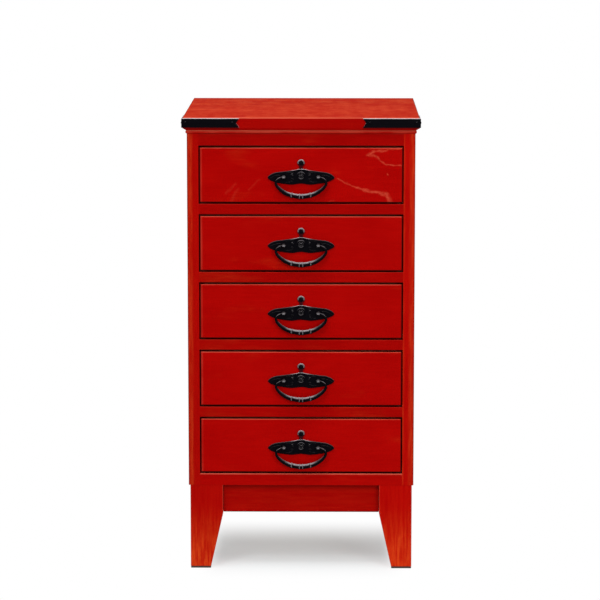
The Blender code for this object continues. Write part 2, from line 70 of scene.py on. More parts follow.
# %% [markdown]
# ## Camera
# The chest is seen from straight ahead and a little above, through a long lens, so its uprights stay
# almost parallel. A camera could be placed by eye. Here its place, tilt and focal length were fitted to
# the measured edges of the case, the legs and the drawers' gaps, and no lens shift is needed.

# %% Set the camera
bpy.ops.object.select_all(action="DESELECT")
tilt, turn = math.radians(90 - 8.856), math.radians(0.668)
bpy.ops.object.camera_add(location=(0.0596, -5.5, 1.3506), rotation=(tilt, 0, turn))
camera = bpy.context.object
camera.name = "camera"
camera.data.sensor_width = 36
camera.data.lens = 167.8
camera.data.clip_end = 100
scene.camera = camera
scene.view_settings.view_transform = "Standard"
print("camera at", tuple(round(part, 3) for part in camera.location), "lens", camera.data.lens)

# %% [markdown]
# ## Wiring nodes
# Every finish below is a small network of nodes. Adding and joining them one call at a time hides the
# idea behind the bookkeeping, so one helper adds a node, fills in its plain inputs and joins the linked
# ones. A linked value knows which network it belongs to, so the other helpers take only values: they
# combine masks, blend colours, turn a range into a soft step, and scatter clouds.

# %% Helpers for nodes
def is_linked(value):
    return isinstance(value, bpy.types.NodeSocket)


def wire(tree, kind, inputs=None, **settings):
    """A node with its settings made; an input is either a plain value or another node's output."""
    made = tree.nodes.new(kind)
    for name, value in settings.items():
        setattr(made, name, value)
    for name, value in (inputs or {}).items():
        if is_linked(value):
            tree.links.new(value, made.inputs[name])
        else:
            made.inputs[name].default_value = value
    return made


def math_of(operation, first, second=0.0):
    """Two values combined, of which at least one is linked."""
    tree = (first if is_linked(first) else second).id_data
    return wire(tree, "ShaderNodeMath", {0: first, 1: second}, operation=operation).outputs[0]


def times(first, *others):
    for other in others:
        first = math_of("MULTIPLY", first, other)
    return first


def plus(first, second):
    return math_of("ADD", first, second)


def most(first, second):
    return math_of("MAXIMUM", first, second)


def ramp(value, start, end, low=0.0, high=1.0):
    """A soft step from low to high while a value goes from start to end."""
    inputs = {"Value": value, "From Min": start, "From Max": end, "To Min": low, "To Max": high}
    return wire(value.id_data, "ShaderNodeMapRange", inputs, interpolation_type="SMOOTHSTEP").outputs[0]


def blended(amount, first, second):
    """A colour between two others."""
    first, second = [(*colour, 1) if isinstance(colour, tuple) else colour for colour in (first, second)]
    inputs = {0: amount, 6: first, 7: second}
    return wire(amount.id_data, "ShaderNodeMix", inputs, data_type="RGBA").outputs[2]


def vector_of(operation, first, second=(0, 0, 0), output=0):
    """Two vectors combined; what ends in a single number is output 1."""
    inputs = {0: first, 1: second}
    return wire(first.id_data, "ShaderNodeVectorMath", inputs, operation=operation).outputs[output]


def scaled(vector, amount):
    """A vector made longer, or a colour brighter."""
    inputs = {0: vector, "Scale": amount}
    return wire(vector.id_data, "ShaderNodeVectorMath", inputs, operation="SCALE").outputs[0]


def noise(place, stretch, detail=3.0, roughness=0.55):
    """Cloudy values from 0 to 1, with so many clouds to the metre along X, Y and Z."""
    spread = vector_of("MULTIPLY", place, stretch)
    inputs = {"Vector": spread, "Scale": 1.0, "Detail": detail, "Roughness": roughness}
    return wire(place.id_data, "ShaderNodeTexNoise", inputs).outputs[0]


def axes(place):
    """The X, Y and Z of a place as single values."""
    return wire(place.id_data, "ShaderNodeSeparateXYZ", {0: place}).outputs


def outward(place):
    """The distance from the chest's middle to either side."""
    return math_of("ABSOLUTE", axes(place)["X"])


# %% [markdown]
# ## Floor and light
# The chest stands on a plain white floor that runs into a white background, and only a soft grey shadow
# shows under it. Pouring on light until the floor clips would also wash out the lacquer. So the lamps
# stay at a level where a colour looks as it is mixed, and the floor's own material adds white where it
# is looked at, directly or in a reflection. It keeps enough of its real shading for the shadow.

# %% Lay the floor
def looked_at(tree):
    """1 where a ray comes from the camera, a reflection or a see-through surface."""
    path = wire(tree, "ShaderNodeLightPath").outputs
    return most(most(path["Is Camera Ray"], path["Is Glossy Ray"]), path["Is Transmission Ray"])


bpy.ops.object.select_all(action="DESELECT")
bpy.ops.mesh.primitive_plane_add(size=16)
floor = bpy.context.object
floor.name = "floor"
paper = bpy.data.materials.new("white floor")
paper.use_nodes = True
tree = paper.node_tree
tree.nodes.clear()
spot = wire(tree, "ShaderNodeTexCoord").outputs["Object"]
shadow_middle, shadow_share = -0.058, 0.6
from_middle = math_of("ABSOLUTE", plus(axes(spot)["Y"], -shadow_middle))
beneath = times(ramp(outward(spot), 0.208, 0.155), ramp(from_middle, 0.26, 0.03))
whiten = times(looked_at(tree), math_of("SUBTRACT", 1.0, times(beneath, shadow_share)))
shaded = wire(tree, "ShaderNodeBsdfDiffuse", {"Color": (0.80, 0.88, 0.90, 1)}).outputs[0]
white = wire(tree, "ShaderNodeEmission", {"Strength": 1.0}).outputs[0]
surface = wire(tree, "ShaderNodeMixShader", {0: whiten, 1: shaded, 2: white}).outputs[0]
wire(tree, "ShaderNodeOutputMaterial", {"Surface": surface})
floor.data.materials.append(paper)
floor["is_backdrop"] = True
print("floor of", round(floor.dimensions.x), "m")

# %% Light the studio
studio = bpy.data.worlds.new("studio")
scene.world = studio
studio.use_nodes = True
tree = studio.node_tree
tree.nodes.clear()
around = wire(tree, "ShaderNodeBackground", {"Strength": 0.34}).outputs[0]
white = wire(tree, "ShaderNodeBackground", {"Color": (1, 1, 1, 1), "Strength": 1.0}).outputs[0]
sky = wire(tree, "ShaderNodeMixShader", {0: looked_at(tree), 1: around, 2: white}).outputs[0]
wire(tree, "ShaderNodeOutputWorld", {"Surface": sky})


def softbox(name, place, aim, size, power):
    """A square lamp that looks from one point to another."""
    bpy.ops.object.select_all(action="DESELECT")
    turned = (Vector(aim) - Vector(place)).to_track_quat("-Z", "Y").to_euler()
    bpy.ops.object.light_add(type="AREA", location=place, rotation=turned)
    lamp = bpy.context.object
    lamp.name = name
    lamp.data.size = size
    lamp.data.energy = power
    return lamp


lamps = [
    softbox("overhead", (-0.2, -0.6, 2.9), (0, 0, 0.3), 1.6, 46),
    softbox("front left", (-1.3, -2.9, 2.9), (0, -0.2, 0.45), 1.1, 43),
    softbox("front right", (1.9, -3.2, 1.4), (0, -0.2, 0.25), 1.4, 40),
]
print("lamps:", [(lamp.name, lamp.data.energy) for lamp in lamps])

# %% [markdown]
# ## Lacquer
# The chest is brushed with thin coats of red lacquer. Where the coats lie thick the red is deep and
# almost without grain. Where hands, cloths and time have thinned them, the orange wood glows through in
# streaks, and the sharpest edges are rubbed to a pale line, which on edges that face the light is also a
# painted highlight. Painting each board would tie the look to one picture. A shared group of nodes keeps
# one recipe instead: it takes a place along the grain and two masks, how rubbed the spot is and how pale
# it turns from wear and painted highlight, and puts out colour, roughness and height.

# %% Mix the lacquer
def new_group(name, inputs, outputs):
    """An empty group of nodes with sockets of given names and types."""
    group = bpy.data.node_groups.new(name, "ShaderNodeTree")
    for in_out, sockets in (("INPUT", inputs), ("OUTPUT", outputs)):
        for label, kind in sockets.items():
            group.interface.new_socket(label, in_out=in_out, socket_type=f"NodeSocket{kind}")
    return group, wire(group, "NodeGroupInput").outputs, wire(group, "NodeGroupOutput")


def put_out(out, *values):
    """Joins values to a group's outputs, in their order."""
    for value, socket in zip(values, out.inputs):
        out.id_data.links.new(value, socket)


finish_outputs = {"Color": "Color", "Roughness": "Float", "Height": "Float"}
lacquer_inputs = {"Place": "Vector", "Rubbed": "Float", "Wear and light": "Float", "Thin": "Color", "Pale": "Color"}
lacquer_group, given, out = new_group("brushed lacquer", lacquer_inputs, finish_outputs)
streaks = noise(given["Place"], (20, 260, 260), 6.0, 0.62)
clouds = noise(given["Place"], (9, 22, 22))
grit = noise(given["Place"], (90, 420, 420), 2.0)
depth = plus(times(streaks, 0.5), times(clouds, 0.5))
deep = blended(ramp(depth, 0.3, 0.7), (0.325, 0.0006, 0.0004), (0.385, 0.0015, 0.0008))
thin = blended(ramp(streaks, 0.3, 0.7), (0.41, 0.014, 0.003), given["Thin"])
coat = blended(times(given["Rubbed"], ramp(streaks, 0.25, 0.65, 0.55, 1.0)), deep, thin)
pale_spots = times(given["Wear and light"], ramp(clouds, 0.3, 0.55, 0.45, 1.0))
roughness = plus(ramp(streaks, 0.2, 0.8, 0.38, 0.5), times(pale_spots, 0.12))
put_out(out, blended(pale_spots, coat, given["Pale"]), roughness, plus(streaks, times(grit, 0.25)))
print("lacquer group with", len(lacquer_group.nodes), "nodes")

# %% [markdown]
# ## Bare wood
# Inside, the chest is left as plain pale wood: the drawers' sides, backs and bottoms, the boards that
# carry them, and the parts of the case behind the lacquered front. Its grain is drawn as fine lines that
# run with the board, made wavy by a slow drift, over a gentle change of tone from one part to the next.

# %% Draw the wood
wood_group, given, out = new_group("bare wood", {"Place": "Vector"}, finish_outputs)
drift = noise(given["Place"], (2.5, 30, 30), 2.0)
lines = noise(given["Place"], (6, 380, 380), 4.0, 0.65)
pores = noise(given["Place"], (70, 1600, 1600), 2.0)
tone = blended(ramp(drift, 0.3, 0.7), (0.60, 0.43, 0.26), (0.69, 0.53, 0.35))
tone = blended(ramp(lines, 0.45, 0.75, 0.0, 0.55), tone, (0.40, 0.25, 0.13))
tone = blended(ramp(pores, 0.62, 0.75, 0.0, 0.5), tone, (0.28, 0.17, 0.09))
put_out(out, tone, ramp(lines, 0.3, 0.8, 0.55, 0.72), math_of("SUBTRACT", 1.0, lines))
print("wood group with", len(wood_group.nodes), "nodes")

# %% [markdown]
# ## Finishes made from the groups
# A board's grain follows its length, so each finish turns the pattern to run along X, Y or Z before the
# group reads it. The masks differ from board to board: a function for each one says, from the place on
# the board, how far its lacquer is rubbed, and whether it has been lacquered there at all. Others paint
# light and shade into the colour: a painted shade in the gaps and under things, and tones that lighten
# some parts as painted light. The pale line along the arrises, wear and painted highlight, follows a mark
# that is set on the eased edges of each piece.

# %% Helpers for finishes
grain_turns = {"X": (0, 0, 0), "Y": (0, 0, math.radians(-90)), "Z": (0, math.radians(90), 0)}


def new_finish(name):
    """A material with only its shader and output, and the place on the piece to start from."""
    finish = bpy.data.materials.new(name)
    finish.use_nodes = True
    shader = finish.node_tree.nodes["Principled BSDF"]
    place = wire(finish.node_tree, "ShaderNodeTexCoord").outputs["Object"]
    return finish, finish.node_tree, shader, place


def placed(group, inputs):
    """A group placed in the material that its place belongs to, and its outputs."""
    return wire(inputs["Place"].id_data, "ShaderNodeGroup", inputs, node_tree=group).outputs


def along_grain(place, grain, length=1.0):
    """A place turned so that a pattern runs along an axis, drawn out by a factor."""
    scale = [1 / length if axis == grain else 1.0 for axis in "XYZ"]
    inputs = {"Vector": place, "Rotation": grain_turns[grain], "Scale": scale}
    return wire(place.id_data, "ShaderNodeMapping", inputs).outputs[0]


def feed(shader, colour, roughness, height, bump, specular):
    """Joins colour, roughness and a bump of a strength and distance, and sets how strongly it mirrors."""
    tree = shader.id_data
    inputs = {"Strength": bump[0], "Distance": bump[1], "Height": height}
    normal = wire(tree, "ShaderNodeBump", inputs).outputs[0]
    for name, value in (("Base Color", colour), ("Roughness", roughness), ("Normal", normal)):
        tree.links.new(value, shader.inputs[name])
    shader.inputs["Specular IOR Level"].default_value = specular


print("grain can run along", sorted(grain_turns))

# %% Lacquered and bare finishes
# The first colour is painted shade: it darkens the gaps, the moulding under the straps, the apron's top, the drawer
# sides' front ends and eased edges that look down or away.
painted_shade_red, vein_red = (0.030, 0.0022, 0.0016), (0.56, 0.060, 0.030)
thin_orange, pale_red = (0.54, 0.050, 0.010), (0.60, 0.085, 0.050)


def lacquer_finish(name, grain, rubbed=None, dust_and_highlight=None, veined=None, tone=None, shaded=None, bare=None,
                   edges=1.0, dullness=0.0, thin=thin_orange, pale=pale_red, length=1.0):
    """Brushed lacquer with its grain along an axis; each mask is a function of the place on the piece."""
    finish, tree, shader, place = new_finish(name)
    turned = along_grain(place, grain, length)
    edge_wear_and_light = wire(tree, "ShaderNodeAttribute", attribute_name="edge_wear_and_light").outputs["Fac"]
    wear_and_light = times(most(edge_wear_and_light, 0.0), edges)
    if dust_and_highlight:
        wear_and_light = most(wear_and_light, dust_and_highlight(place))
    masks = {"Rubbed": rubbed(place) if rubbed else 0.06, "Wear and light": wear_and_light}
    coat = placed(lacquer_group, {"Place": turned, "Thin": (*thin, 1), "Pale": (*pale, 1), **masks})
    colour, roughness = coat["Color"], plus(coat["Roughness"], dullness)
    if veined:
        colour = blended(veined(place), colour, vein_red)
    if tone:
        colour = scaled(colour, tone(place))
    # Painted shade: where the mask says so, and on eased edges that look down or away, the colour turns to the dark
    # shaded red.
    if shaded:
        colour = blended(most(shaded(place), times(edge_wear_and_light, -0.9)), colour, painted_shade_red)
    if bare:
        wood, amount = placed(wood_group, {"Place": turned}), bare(place)
        colour = blended(amount, colour, wood["Color"])
        roughness = wire(tree, "ShaderNodeMix", {0: amount, 2: roughness, 3: wood["Roughness"]}).outputs[0]
    feed(shader, colour, roughness, coat["Height"], bump=(0.25, 0.0004), specular=0.010)
    return finish


def wood_finish(name, grain, painted_shade=None):
    """Bare wood with its grain along an axis, darkened with painted shade where a mask says so."""
    finish, _, shader, place = new_finish(name)
    wood = placed(wood_group, {"Place": along_grain(place, grain)})
    colour = blended(painted_shade(place), wood["Color"], painted_shade_red) if painted_shade else wood["Color"]
    feed(shader, colour, wood["Roughness"], wood["Height"], bump=(0.3, 0.0003), specular=0.25)
    return finish


print("painted_shade_red", painted_shade_red, "under lacquer that thins to", thin_orange)

# %% [markdown]
# ## Shaping boards
# Most pieces are boards. By hand one adds a cube at the board's size, goes into edit mode and works on
# the edges that show. The helpers below do just that: they pick faces, edges and points by where they
# are and which way they run, which reads better in a script than counting them.

# %% Helpers for picking
def only(piece):
    """Nothing else selected, and this piece active."""
    if bpy.context.object and bpy.context.object.mode != "OBJECT":
        bpy.ops.object.mode_set(mode="OBJECT")
    bpy.ops.object.select_all(action="DESELECT")
    piece.select_set(True)
    bpy.context.view_layer.objects.active = piece


def pick_all(piece):
    """Edit mode, with everything selected."""
    only(piece)
    bpy.ops.object.mode_set(mode="EDIT")
    bpy.ops.mesh.select_all(action="SELECT")


def pick(piece, faces=None, edges=None, points=None):
    """Edit mode, with only the faces, edges or points selected that pass a test of place and direction."""
    only(piece)
    bpy.ops.object.mode_set(mode="EDIT")
    bpy.ops.mesh.select_mode(type="FACE" if faces else "EDGE" if edges else "VERT")
    bpy.ops.mesh.select_all(action="DESELECT")
    work = bmesh.from_edit_mesh(piece.data)
    for face in work.faces if faces else ():
        face.select_set(faces(face.calc_center_median(), face.normal))
    for edge in work.edges if edges else ():
        first, second = (corner.co for corner in edge.verts)
        way = (second - first).normalized()
        if edges((first + second) / 2, Vector(map(abs, way))):
            edge.select_set(True)
    for point in work.verts if points else ():
        point.select_set(points(point.co))
    bmesh.update_edit_mesh(piece.data)


def done():
    bpy.ops.object.mode_set(mode="OBJECT")


def close_to(value, wanted, slack=0.0002):
    return abs(value - wanted) < slack


# %% Helpers for shaping
def settle(piece, name):
    """The piece's place, turn and size go into its mesh."""
    piece.name = name
    only(piece)
    bpy.ops.object.transform_apply(location=True, rotation=True, scale=True)
    return piece


def start_board(name, low, high):
    """A cube added at a board's size and place."""
    bpy.ops.object.select_all(action="DESELECT")
    low, high = Vector(low), Vector(high)
    size = [abs(side) for side in high - low]
    bpy.ops.mesh.primitive_cube_add(size=1, location=(low + high) / 2, scale=size)
    return settle(bpy.context.object, name)


def push(x=0.0, y=0.0, z=0.0):
    """The picked part drawn out by a distance, with new walls behind it."""
    bpy.ops.mesh.extrude_region_move(TRANSFORM_OT_translate={"value": (x, y, z)})


def scale_about(centre, x=1.0, y=1.0, z=1.0):
    bpy.ops.transform.resize(value=(x, y, z), center_override=centre)


def turn_outwards():
    """All picked faces look out of the piece."""
    bpy.ops.mesh.normals_make_consistent(inside=False)


def modify(piece, kind, **settings):
    """A modifier added to a piece, set and applied."""
    only(piece)
    bpy.ops.object.modifier_add(type=kind)
    modifier = piece.modifiers[-1]
    for name, value in settings.items():
        setattr(modifier, name, value)
    bpy.ops.object.modifier_apply(modifier=modifier.name)


def ease(piece, edges, width, segments=4):
    """Rounds the edges that pass a test."""
    pick(piece, edges=edges)
    bpy.ops.mesh.bevel(offset=width, segments=segments, affect="EDGES")
    done()


def soften(piece, width=0.0006):
    """Takes the sharpness off every edge that is still square."""
    modify(piece, "BEVEL", width=width, segments=2, limit_method="ANGLE")


# %% [markdown]
# ## Wear, painted light and handing over
# Hands, cloths and dust reach some faces more than others, and the colour also carries painted light. A mark
# on the mesh says how much, so that the finish can follow it: a board's eased edges for lacquer, paler as
# wear and painted highlight where they look up or to one side, darker as painted shade where they look
# down or away; and each corner's tilt for iron, brighter as polish and painted highlight where it looks up.
# A texture could be painted instead, but a mark moves with its piece and needs no map. Each piece is then
# given even shading, its finish, and the body that carries it.

# %% Helpers for wear, painted light and handing over
def mark_edge_wear_and_light(piece, up=1.0, left=0.55, right=0.1, down=-1.0):
    """Marks a board's eased edges by where they look: above 0 for rubbed wear and painted highlight, below 0 for
    painted shade.
    """
    mesh = piece.data
    marks = mesh.attributes.new("edge_wear_and_light", "FLOAT", "FACE")
    for face, mark in zip(mesh.polygons, marks.data):
        way = face.normal
        if max(abs(part) for part in way) < 0.985:
            ways = (up, way.z), (down, -way.z), (left, -way.x), (right, way.x)
            mark.value = sum(share * min(1.0, max(0.0, 2.2 * part)) for share, part in ways)


def mark_polish_and_highlight(piece, start=0.3, full=0.8, touched=None):
    """Marks metal: above 0 where it looks up, polished and with a painted highlight, below 0 for a painted shade of
    red.
    """
    mesh = piece.data
    marks = mesh.attributes.new("polish_and_highlight", "FLOAT", "CORNER")
    for face in mesh.polygons:
        added, share = touched(face.center, face.normal) if touched else (0.0, 1.0)
        for corner in face.loop_indices:
            lift = mesh.corner_normals[corner].vector.z
            bright = min(1.0, max(0.0, (lift - start) / (full - start)))
            marks.data[corner].value = added + share * bright


def hand_over(piece, finish, slot, body, *nodes, **mark_settings):
    """Even shading, a finish, the body that carries the piece and the measured nodes that it stands for."""
    only(piece)
    bpy.ops.object.shade_smooth_by_angle(angle=math.radians(35))
    modify(piece, "WEIGHTED_NORMAL", keep_sharp=True)
    if slot == "red_lacquer":
        mark_edge_wear_and_light(piece, **mark_settings)
    if slot == "black_iron":
        mark_polish_and_highlight(piece, **mark_settings)
    piece.data.materials.clear()
    piece.data.materials.append(finish)
    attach(piece, body)
    if nodes:
        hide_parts(*nodes)
    return piece


# %% [markdown]
# ## Top board
# The top is one thick board. Its edge steps in below an upright band: a slanted face, a narrow quirk
# and a round bead that meets the case. The moulding could be swept along the edge as a profile. Drawing
# the underside down in steps and pulling it in each time gives the same shape with clean mitred corners,
# and the flat back stays put because the steps shrink towards it.

# %% Shape the top board
low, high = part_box("top_board")
half, deep_end, length = high.x, high.y, high.y - low.y
band, bead, bead_inset, bead_proud = 0.020, 0.0065, 0.0080, 0.0023
band_foot, bead_top = high.z - band, low.z + bead
top_board = start_board("moulded_top", (low.x, low.y, band_foot), high)
steps = [(0.0062, bead_top + 0.0003), (0.0086, bead_top - 0.0001)]
for part in range(9):
    angle = math.pi * (0.5 - part / 8)
    across, up = bead_proud * math.cos(angle), bead / 2 * math.sin(angle)
    steps.append((bead_inset - across, (bead_top + low.z) / 2 + up))
pick(top_board, faces=lambda middle, way: way.z < -0.9)
inset, height = 0.0, band_foot
for next_inset, next_height in steps:
    push(z=next_height - height)
    shrink_x, shrink_y = (half - next_inset) / (half - inset), (length - next_inset) / (length - inset)
    scale_about((0, deep_end, next_height), shrink_x, shrink_y)
    inset, height = next_inset, next_height
done()
ease(top_board, lambda at, way: close_to(at.z, high.z), 0.0022)
ease(top_board, lambda at, way: way.z > 0.9 and at.z > band_foot and at.y < low.y + 0.003, 0.0010, 3)
print("top board with", len(top_board.data.polygons), "faces")

# %% Finish the top board
strap_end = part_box("right_corner_strap")[0].x


def strap_shadow(place):
    """A painted shadow on the moulding below the iron straps."""
    height = axes(place)["Z"]
    below_iron = ramp(outward(place), strap_end - 0.002, strap_end + 0.002)
    close = ramp(height, band_foot - 0.0055, band_foot - 0.0005, 0.0, 0.6)
    return times(below_iron, close, ramp(height, band_foot + 0.0006, band_foot))


def sunlit_top(place):
    """The upper face is rubbed all over, in some bands more, and the moulded edge hardly at all."""
    bands = ramp(noise(place, (42, 17, 4), 4.0, 0.65), 0.33, 0.67, 0.35, 1.05)
    return times(bands, ramp(axes(place)["Z"], high.z - 0.0022, high.z - 0.0004, 0.03, 1.0))


def bead_dust_and_highlight(place):
    """The upper half of the bead is paler, here more and there less: some dusting wear and a painted highlight
    where it faces up.
    """
    height = axes(place)["Z"]
    line = times(ramp(height, bead_top - 0.0014, bead_top - 0.0032, 0.0, 0.27),
                 ramp(height, bead_top - 0.0060, bead_top - 0.0046))
    return times(line, ramp(noise(place, (22, 22, 4), 4.0), 0.38, 0.60, 0.35, 1.5))


def top_tone(place):
    """The upright band is the darkest, the slanted face and the bead below it are lightened as painted light, and
    the upper edges at the ends and the back are darker.
    """
    height = axes(place)["Z"]
    ends = most(ramp(outward(place), half - 0.0030, half - 0.0010, 0.0, 0.55),
                ramp(axes(place)["Y"], deep_end - 0.0060, deep_end - 0.0030, 0.0, 0.45))
    dark_edge = times(ends, ramp(height, high.z - 0.0034, high.z - 0.0018))
    slant = times(ramp(height, band_foot + 0.0004, band_foot - 0.0012, 0.0, 0.14),
                  ramp(height, bead_top - 0.0004, bead_top + 0.0012, 1.0, 3.0))
    tone = plus(ramp(height, high.z - 0.0022, high.z - 0.0004, 0.85, 0.95), slant)
    return times(tone, math_of("SUBTRACT", 1.0, dark_edge))


top_masks = {"rubbed": sunlit_top, "dust_and_highlight": bead_dust_and_highlight, "shaded": strap_shadow, "tone": top_tone}
top_lacquer = lacquer_finish("top lacquer", "X", **top_masks, dullness=0.35, length=2.5,
                             thin=(0.56, 0.064, 0.023), pale=(0.61, 0.095, 0.052))
hand_over(top_board, top_lacquer, "red_lacquer", "case", "top_board", down=0.0)
print("top lacquer with", len(top_lacquer.node_tree.nodes), "nodes")

# %% [markdown]
# ## Case sides, rails and boards
# The case is two side panels with rails housed between them and thin boards behind the rails. Their
# joints were already cut in the measured model, so nothing is drawn again: each board is copied, its
# loose triangles are merged into whole faces, the edges that show are rounded, and a small bevel takes
# the sharpness off the rest.

# %% Copy the side panels
def clean_copy(node, name):
    """A measured board copied and merged into whole faces."""
    only(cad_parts[node])
    bpy.ops.object.duplicate(linked=False)
    copy = bpy.context.object
    copy.parent = None
    copy.name = name
    for key in list(copy.keys()):
        del copy[key]
    pick_all(copy)
    bpy.ops.mesh.remove_doubles(threshold=0.00001)
    bpy.ops.mesh.dissolve_limited(angle_limit=math.radians(1))
    done()
    return copy


side_low, side_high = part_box("left_side_panel")
case_front, case_foot, inner = side_low.y, side_low.z, abs(side_high.x)


def along(axis, start, end, low, high):
    """A mask that goes from one value to another along an axis."""
    return lambda place: ramp(axes(place)[axis], start, end, low, high)


def behind(start, end, full=1.0):
    """A mask that grows from one depth behind the case's front to another."""
    return along("Y", case_front + start, case_front + end, 0.0, full)


def inner_faces(depth, edge):
    """A mask of the panels' inner faces beyond a depth, which fades out at their edge."""
    return lambda place: times(behind(*depth)(place), ramp(outward(place), inner + edge, inner + 0.0002))


def rubbed_stile(place):
    """A band down each stile's outer part is rubbed, and a painted highlight runs along the right one's inner edge.
    """
    at = axes(place)
    band = ramp(outward(place), inner + 0.0095, inner + 0.0150)
    right_edge_highlight = times(ramp(at["X"], inner - 0.0005, inner + 0.0003),
                       ramp(at["X"], inner + 0.0042, inner + 0.0014, 0.0, 0.65))
    front_strip = ramp(at["Y"], case_front + 0.012, case_front + 0.03, 0.46, 0.26)
    patches = ramp(noise(place, (8, 8, 7)), 0.35, 0.6, 0.5, 1.0)
    return plus(times(most(band, right_edge_highlight), front_strip, patches), 0.03)


# Deep inside, the stiles' inner faces are bare wood; just behind the front they are darkened as painted shade for
# the gaps.
lacquer_ends, stile_gap_shade = inner_faces((0.026, 0.027), 0.0008), inner_faces((0.0004, 0.0014), 0.0006)
# Painted light: the right side panel is up to a tenth lighter than the left.
right_side_light = along("X", -0.05, 0.05, 1.0, 1.10)
side_lacquer = lacquer_finish("side lacquer", "Z", rubbed=rubbed_stile, bare=lacquer_ends,
                              shaded=stile_gap_shade, tone=right_side_light, edges=0.3)
for side in ("left", "right"):
    panel = clean_copy(f"{side}_side_panel", f"finished_{side}_side")
    ease(panel, lambda at, way: way.z > 0.9 and close_to(at.y, case_front) and abs(at.x) > 0.21, 0.0022)
    # Painted shade: the rounded outer front edges, which turn away, are darker.
    hand_over(panel, side_lacquer, "red_lacquer", "case", f"{side}_side_panel", left=-0.35, right=-0.35)
print("stiles", round(1000 * (abs(side_low.x) - inner)), "mm wide")

# %% Copy the rails
rail_gap = 0.0003


def rubbed_rail(place):
    """Rails are faintly rubbed in patches."""
    return ramp(noise(place, (7, 7, 24)), 0.5, 0.8, 0.01, 0.25)


def rail_tone(place):
    """Rails are a little lighter towards the floor, and the lowest one most."""
    height = axes(place)["Z"]
    return plus(ramp(height, 0.84, 0.30, 0.86, 0.93), ramp(height, 0.19, 0.17, 0.0, 0.09))


def at_stile(at, way):
    """A rail's visible ends, which are drawn out until they meet the stiles."""
    return abs(way.x) > 0.9 and close_to(abs(at.x), inner - rail_gap, 0.00035) and at.y < case_front + 0.025


def front_edge(at, way):
    return way.x > 0.9 and close_to(at.y, case_front)


rail_masks = {"rubbed": rubbed_rail, "bare": behind(0.0195, 0.0202), "tone": rail_tone}
# Painted shade: the rails' faces inside the gaps, just behind the front, are darkened, and so are the eased edges
# that look down.
rail_lacquer = lacquer_finish("rail lacquer", "X", shaded=behind(0.0008, 0.0018), **rail_masks)
bottom_lacquer = lacquer_finish("bottom rail lacquer", "X", shaded=behind(0.0020, 0.0030), **rail_masks)
rails = ["top_rail", "bottom_board", *(f"divider_rail_{number}" for number in range(1, 5))]
for node in rails:
    rail = clean_copy(node, f"finished_{node}")
    pick(rail, faces=at_stile)
    scale_about((0, 0, 0), inner / (inner - rail_gap))
    done()
    middle = sum(corner.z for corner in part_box(node)) / 2
    if node == "bottom_board":
        ease(rail, lambda at, way: front_edge(at, way) and at.z > middle, 0.0026)
        hand_over(rail, bottom_lacquer, "red_lacquer", "case", node)
    else:
        ease(rail, lambda at, way: front_edge(at, way) and at.z > middle, 0.0012)
        ease(rail, lambda at, way: front_edge(at, way) and at.z < middle, 0.0018, 3)
        hand_over(rail, rail_lacquer, "red_lacquer", "case", node, up=0.15)
print("rails:", len(rails))

# %% Copy the inner boards
board_wood = wood_finish("carrying board wood", "X")
back_wood = wood_finish("back panel wood", "Z")
inner_boards = ["kicker_board", *(f"dust_board_{number}" for number in range(1, 5))]
for node in [*inner_boards, "back_panel"]:
    board = clean_copy(node, f"finished_{node}")
    soften(board, 0.0005)
    hand_over(board, back_wood if node == "back_panel" else board_wood, "drawer_wood", "case", node)
print("boards:", len(inner_boards) + 1)

# %% [markdown]
# ## Legs, pads and aprons
# Each leg is square at the top and tapers on its two inner faces, so that its outer corner stays
# upright. A thin dark pad keeps the end grain off the floor. A leg could be carved from a long cube with
# cuts. Drawing its lower face down and shrinking it towards the outer corner gives both tapers at once.

# %% Shape a leg and its pad
apron_foot, leg_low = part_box("front_apron")[0].z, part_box("front_left_leg")[0]
leg_width, foot_width, pad, pad_inset = 0.0632, 0.0395, 0.0042, 0.0004
leg = start_board("tapered_front_left_leg", (leg_low.x, leg_low.y, apron_foot),
                  (leg_low.x + leg_width, leg_low.y + leg_width, case_foot))
pick(leg, faces=lambda middle, way: way.z < -0.9)
push(z=pad - apron_foot)
scale_about((leg_low.x, leg_low.y, pad), foot_width / leg_width, foot_width / leg_width)
done()
ease(leg, lambda at, way: way.z > 0.9 and close_to(at.x, leg_low.x) and close_to(at.y, leg_low.y), 0.0020)
ease(leg, lambda at, way: way.z > 0.9 and (at.x > leg_low.x + 0.02 or at.y > leg_low.y + 0.02), 0.0014, 3)
pad_reach = foot_width - pad_inset
pad_piece = start_board("front_left_pad", (leg_low.x + pad_inset, leg_low.y + pad_inset, 0),
                        (leg_low.x + pad_reach, leg_low.y + pad_reach, pad - 0.0001))
soften(pad_piece, 0.0009)
print("leg", round(1000 * leg.dimensions.z), "mm tall on a pad of", round(1000 * pad, 1), "mm")

# %% Finish legs and pads
def rubbed_and_lit_leg(place):
    """Legs are rubbed more and more towards the floor; the paler orange there also stands in, as painted light, for
    the light that the floor throws up.
    """
    fall = ramp(axes(place)["Z"], 0.135, 0.0, 0.04, 1.0)
    return times(fall, ramp(noise(place, (70, 70, 45), 5.0, 0.65), 0.3, 0.65, 0.65, 1.0))


def leg_tone(place):
    """Painted light: the colour lightens towards the foot, where the floor throws light up, and a little on the
    right.
    """
    at = axes(place)
    return plus(ramp(at["Z"], 0.14, 0.01, 1.03, 1.24), ramp(at["X"], -0.05, 0.05, 0.0, 0.13))


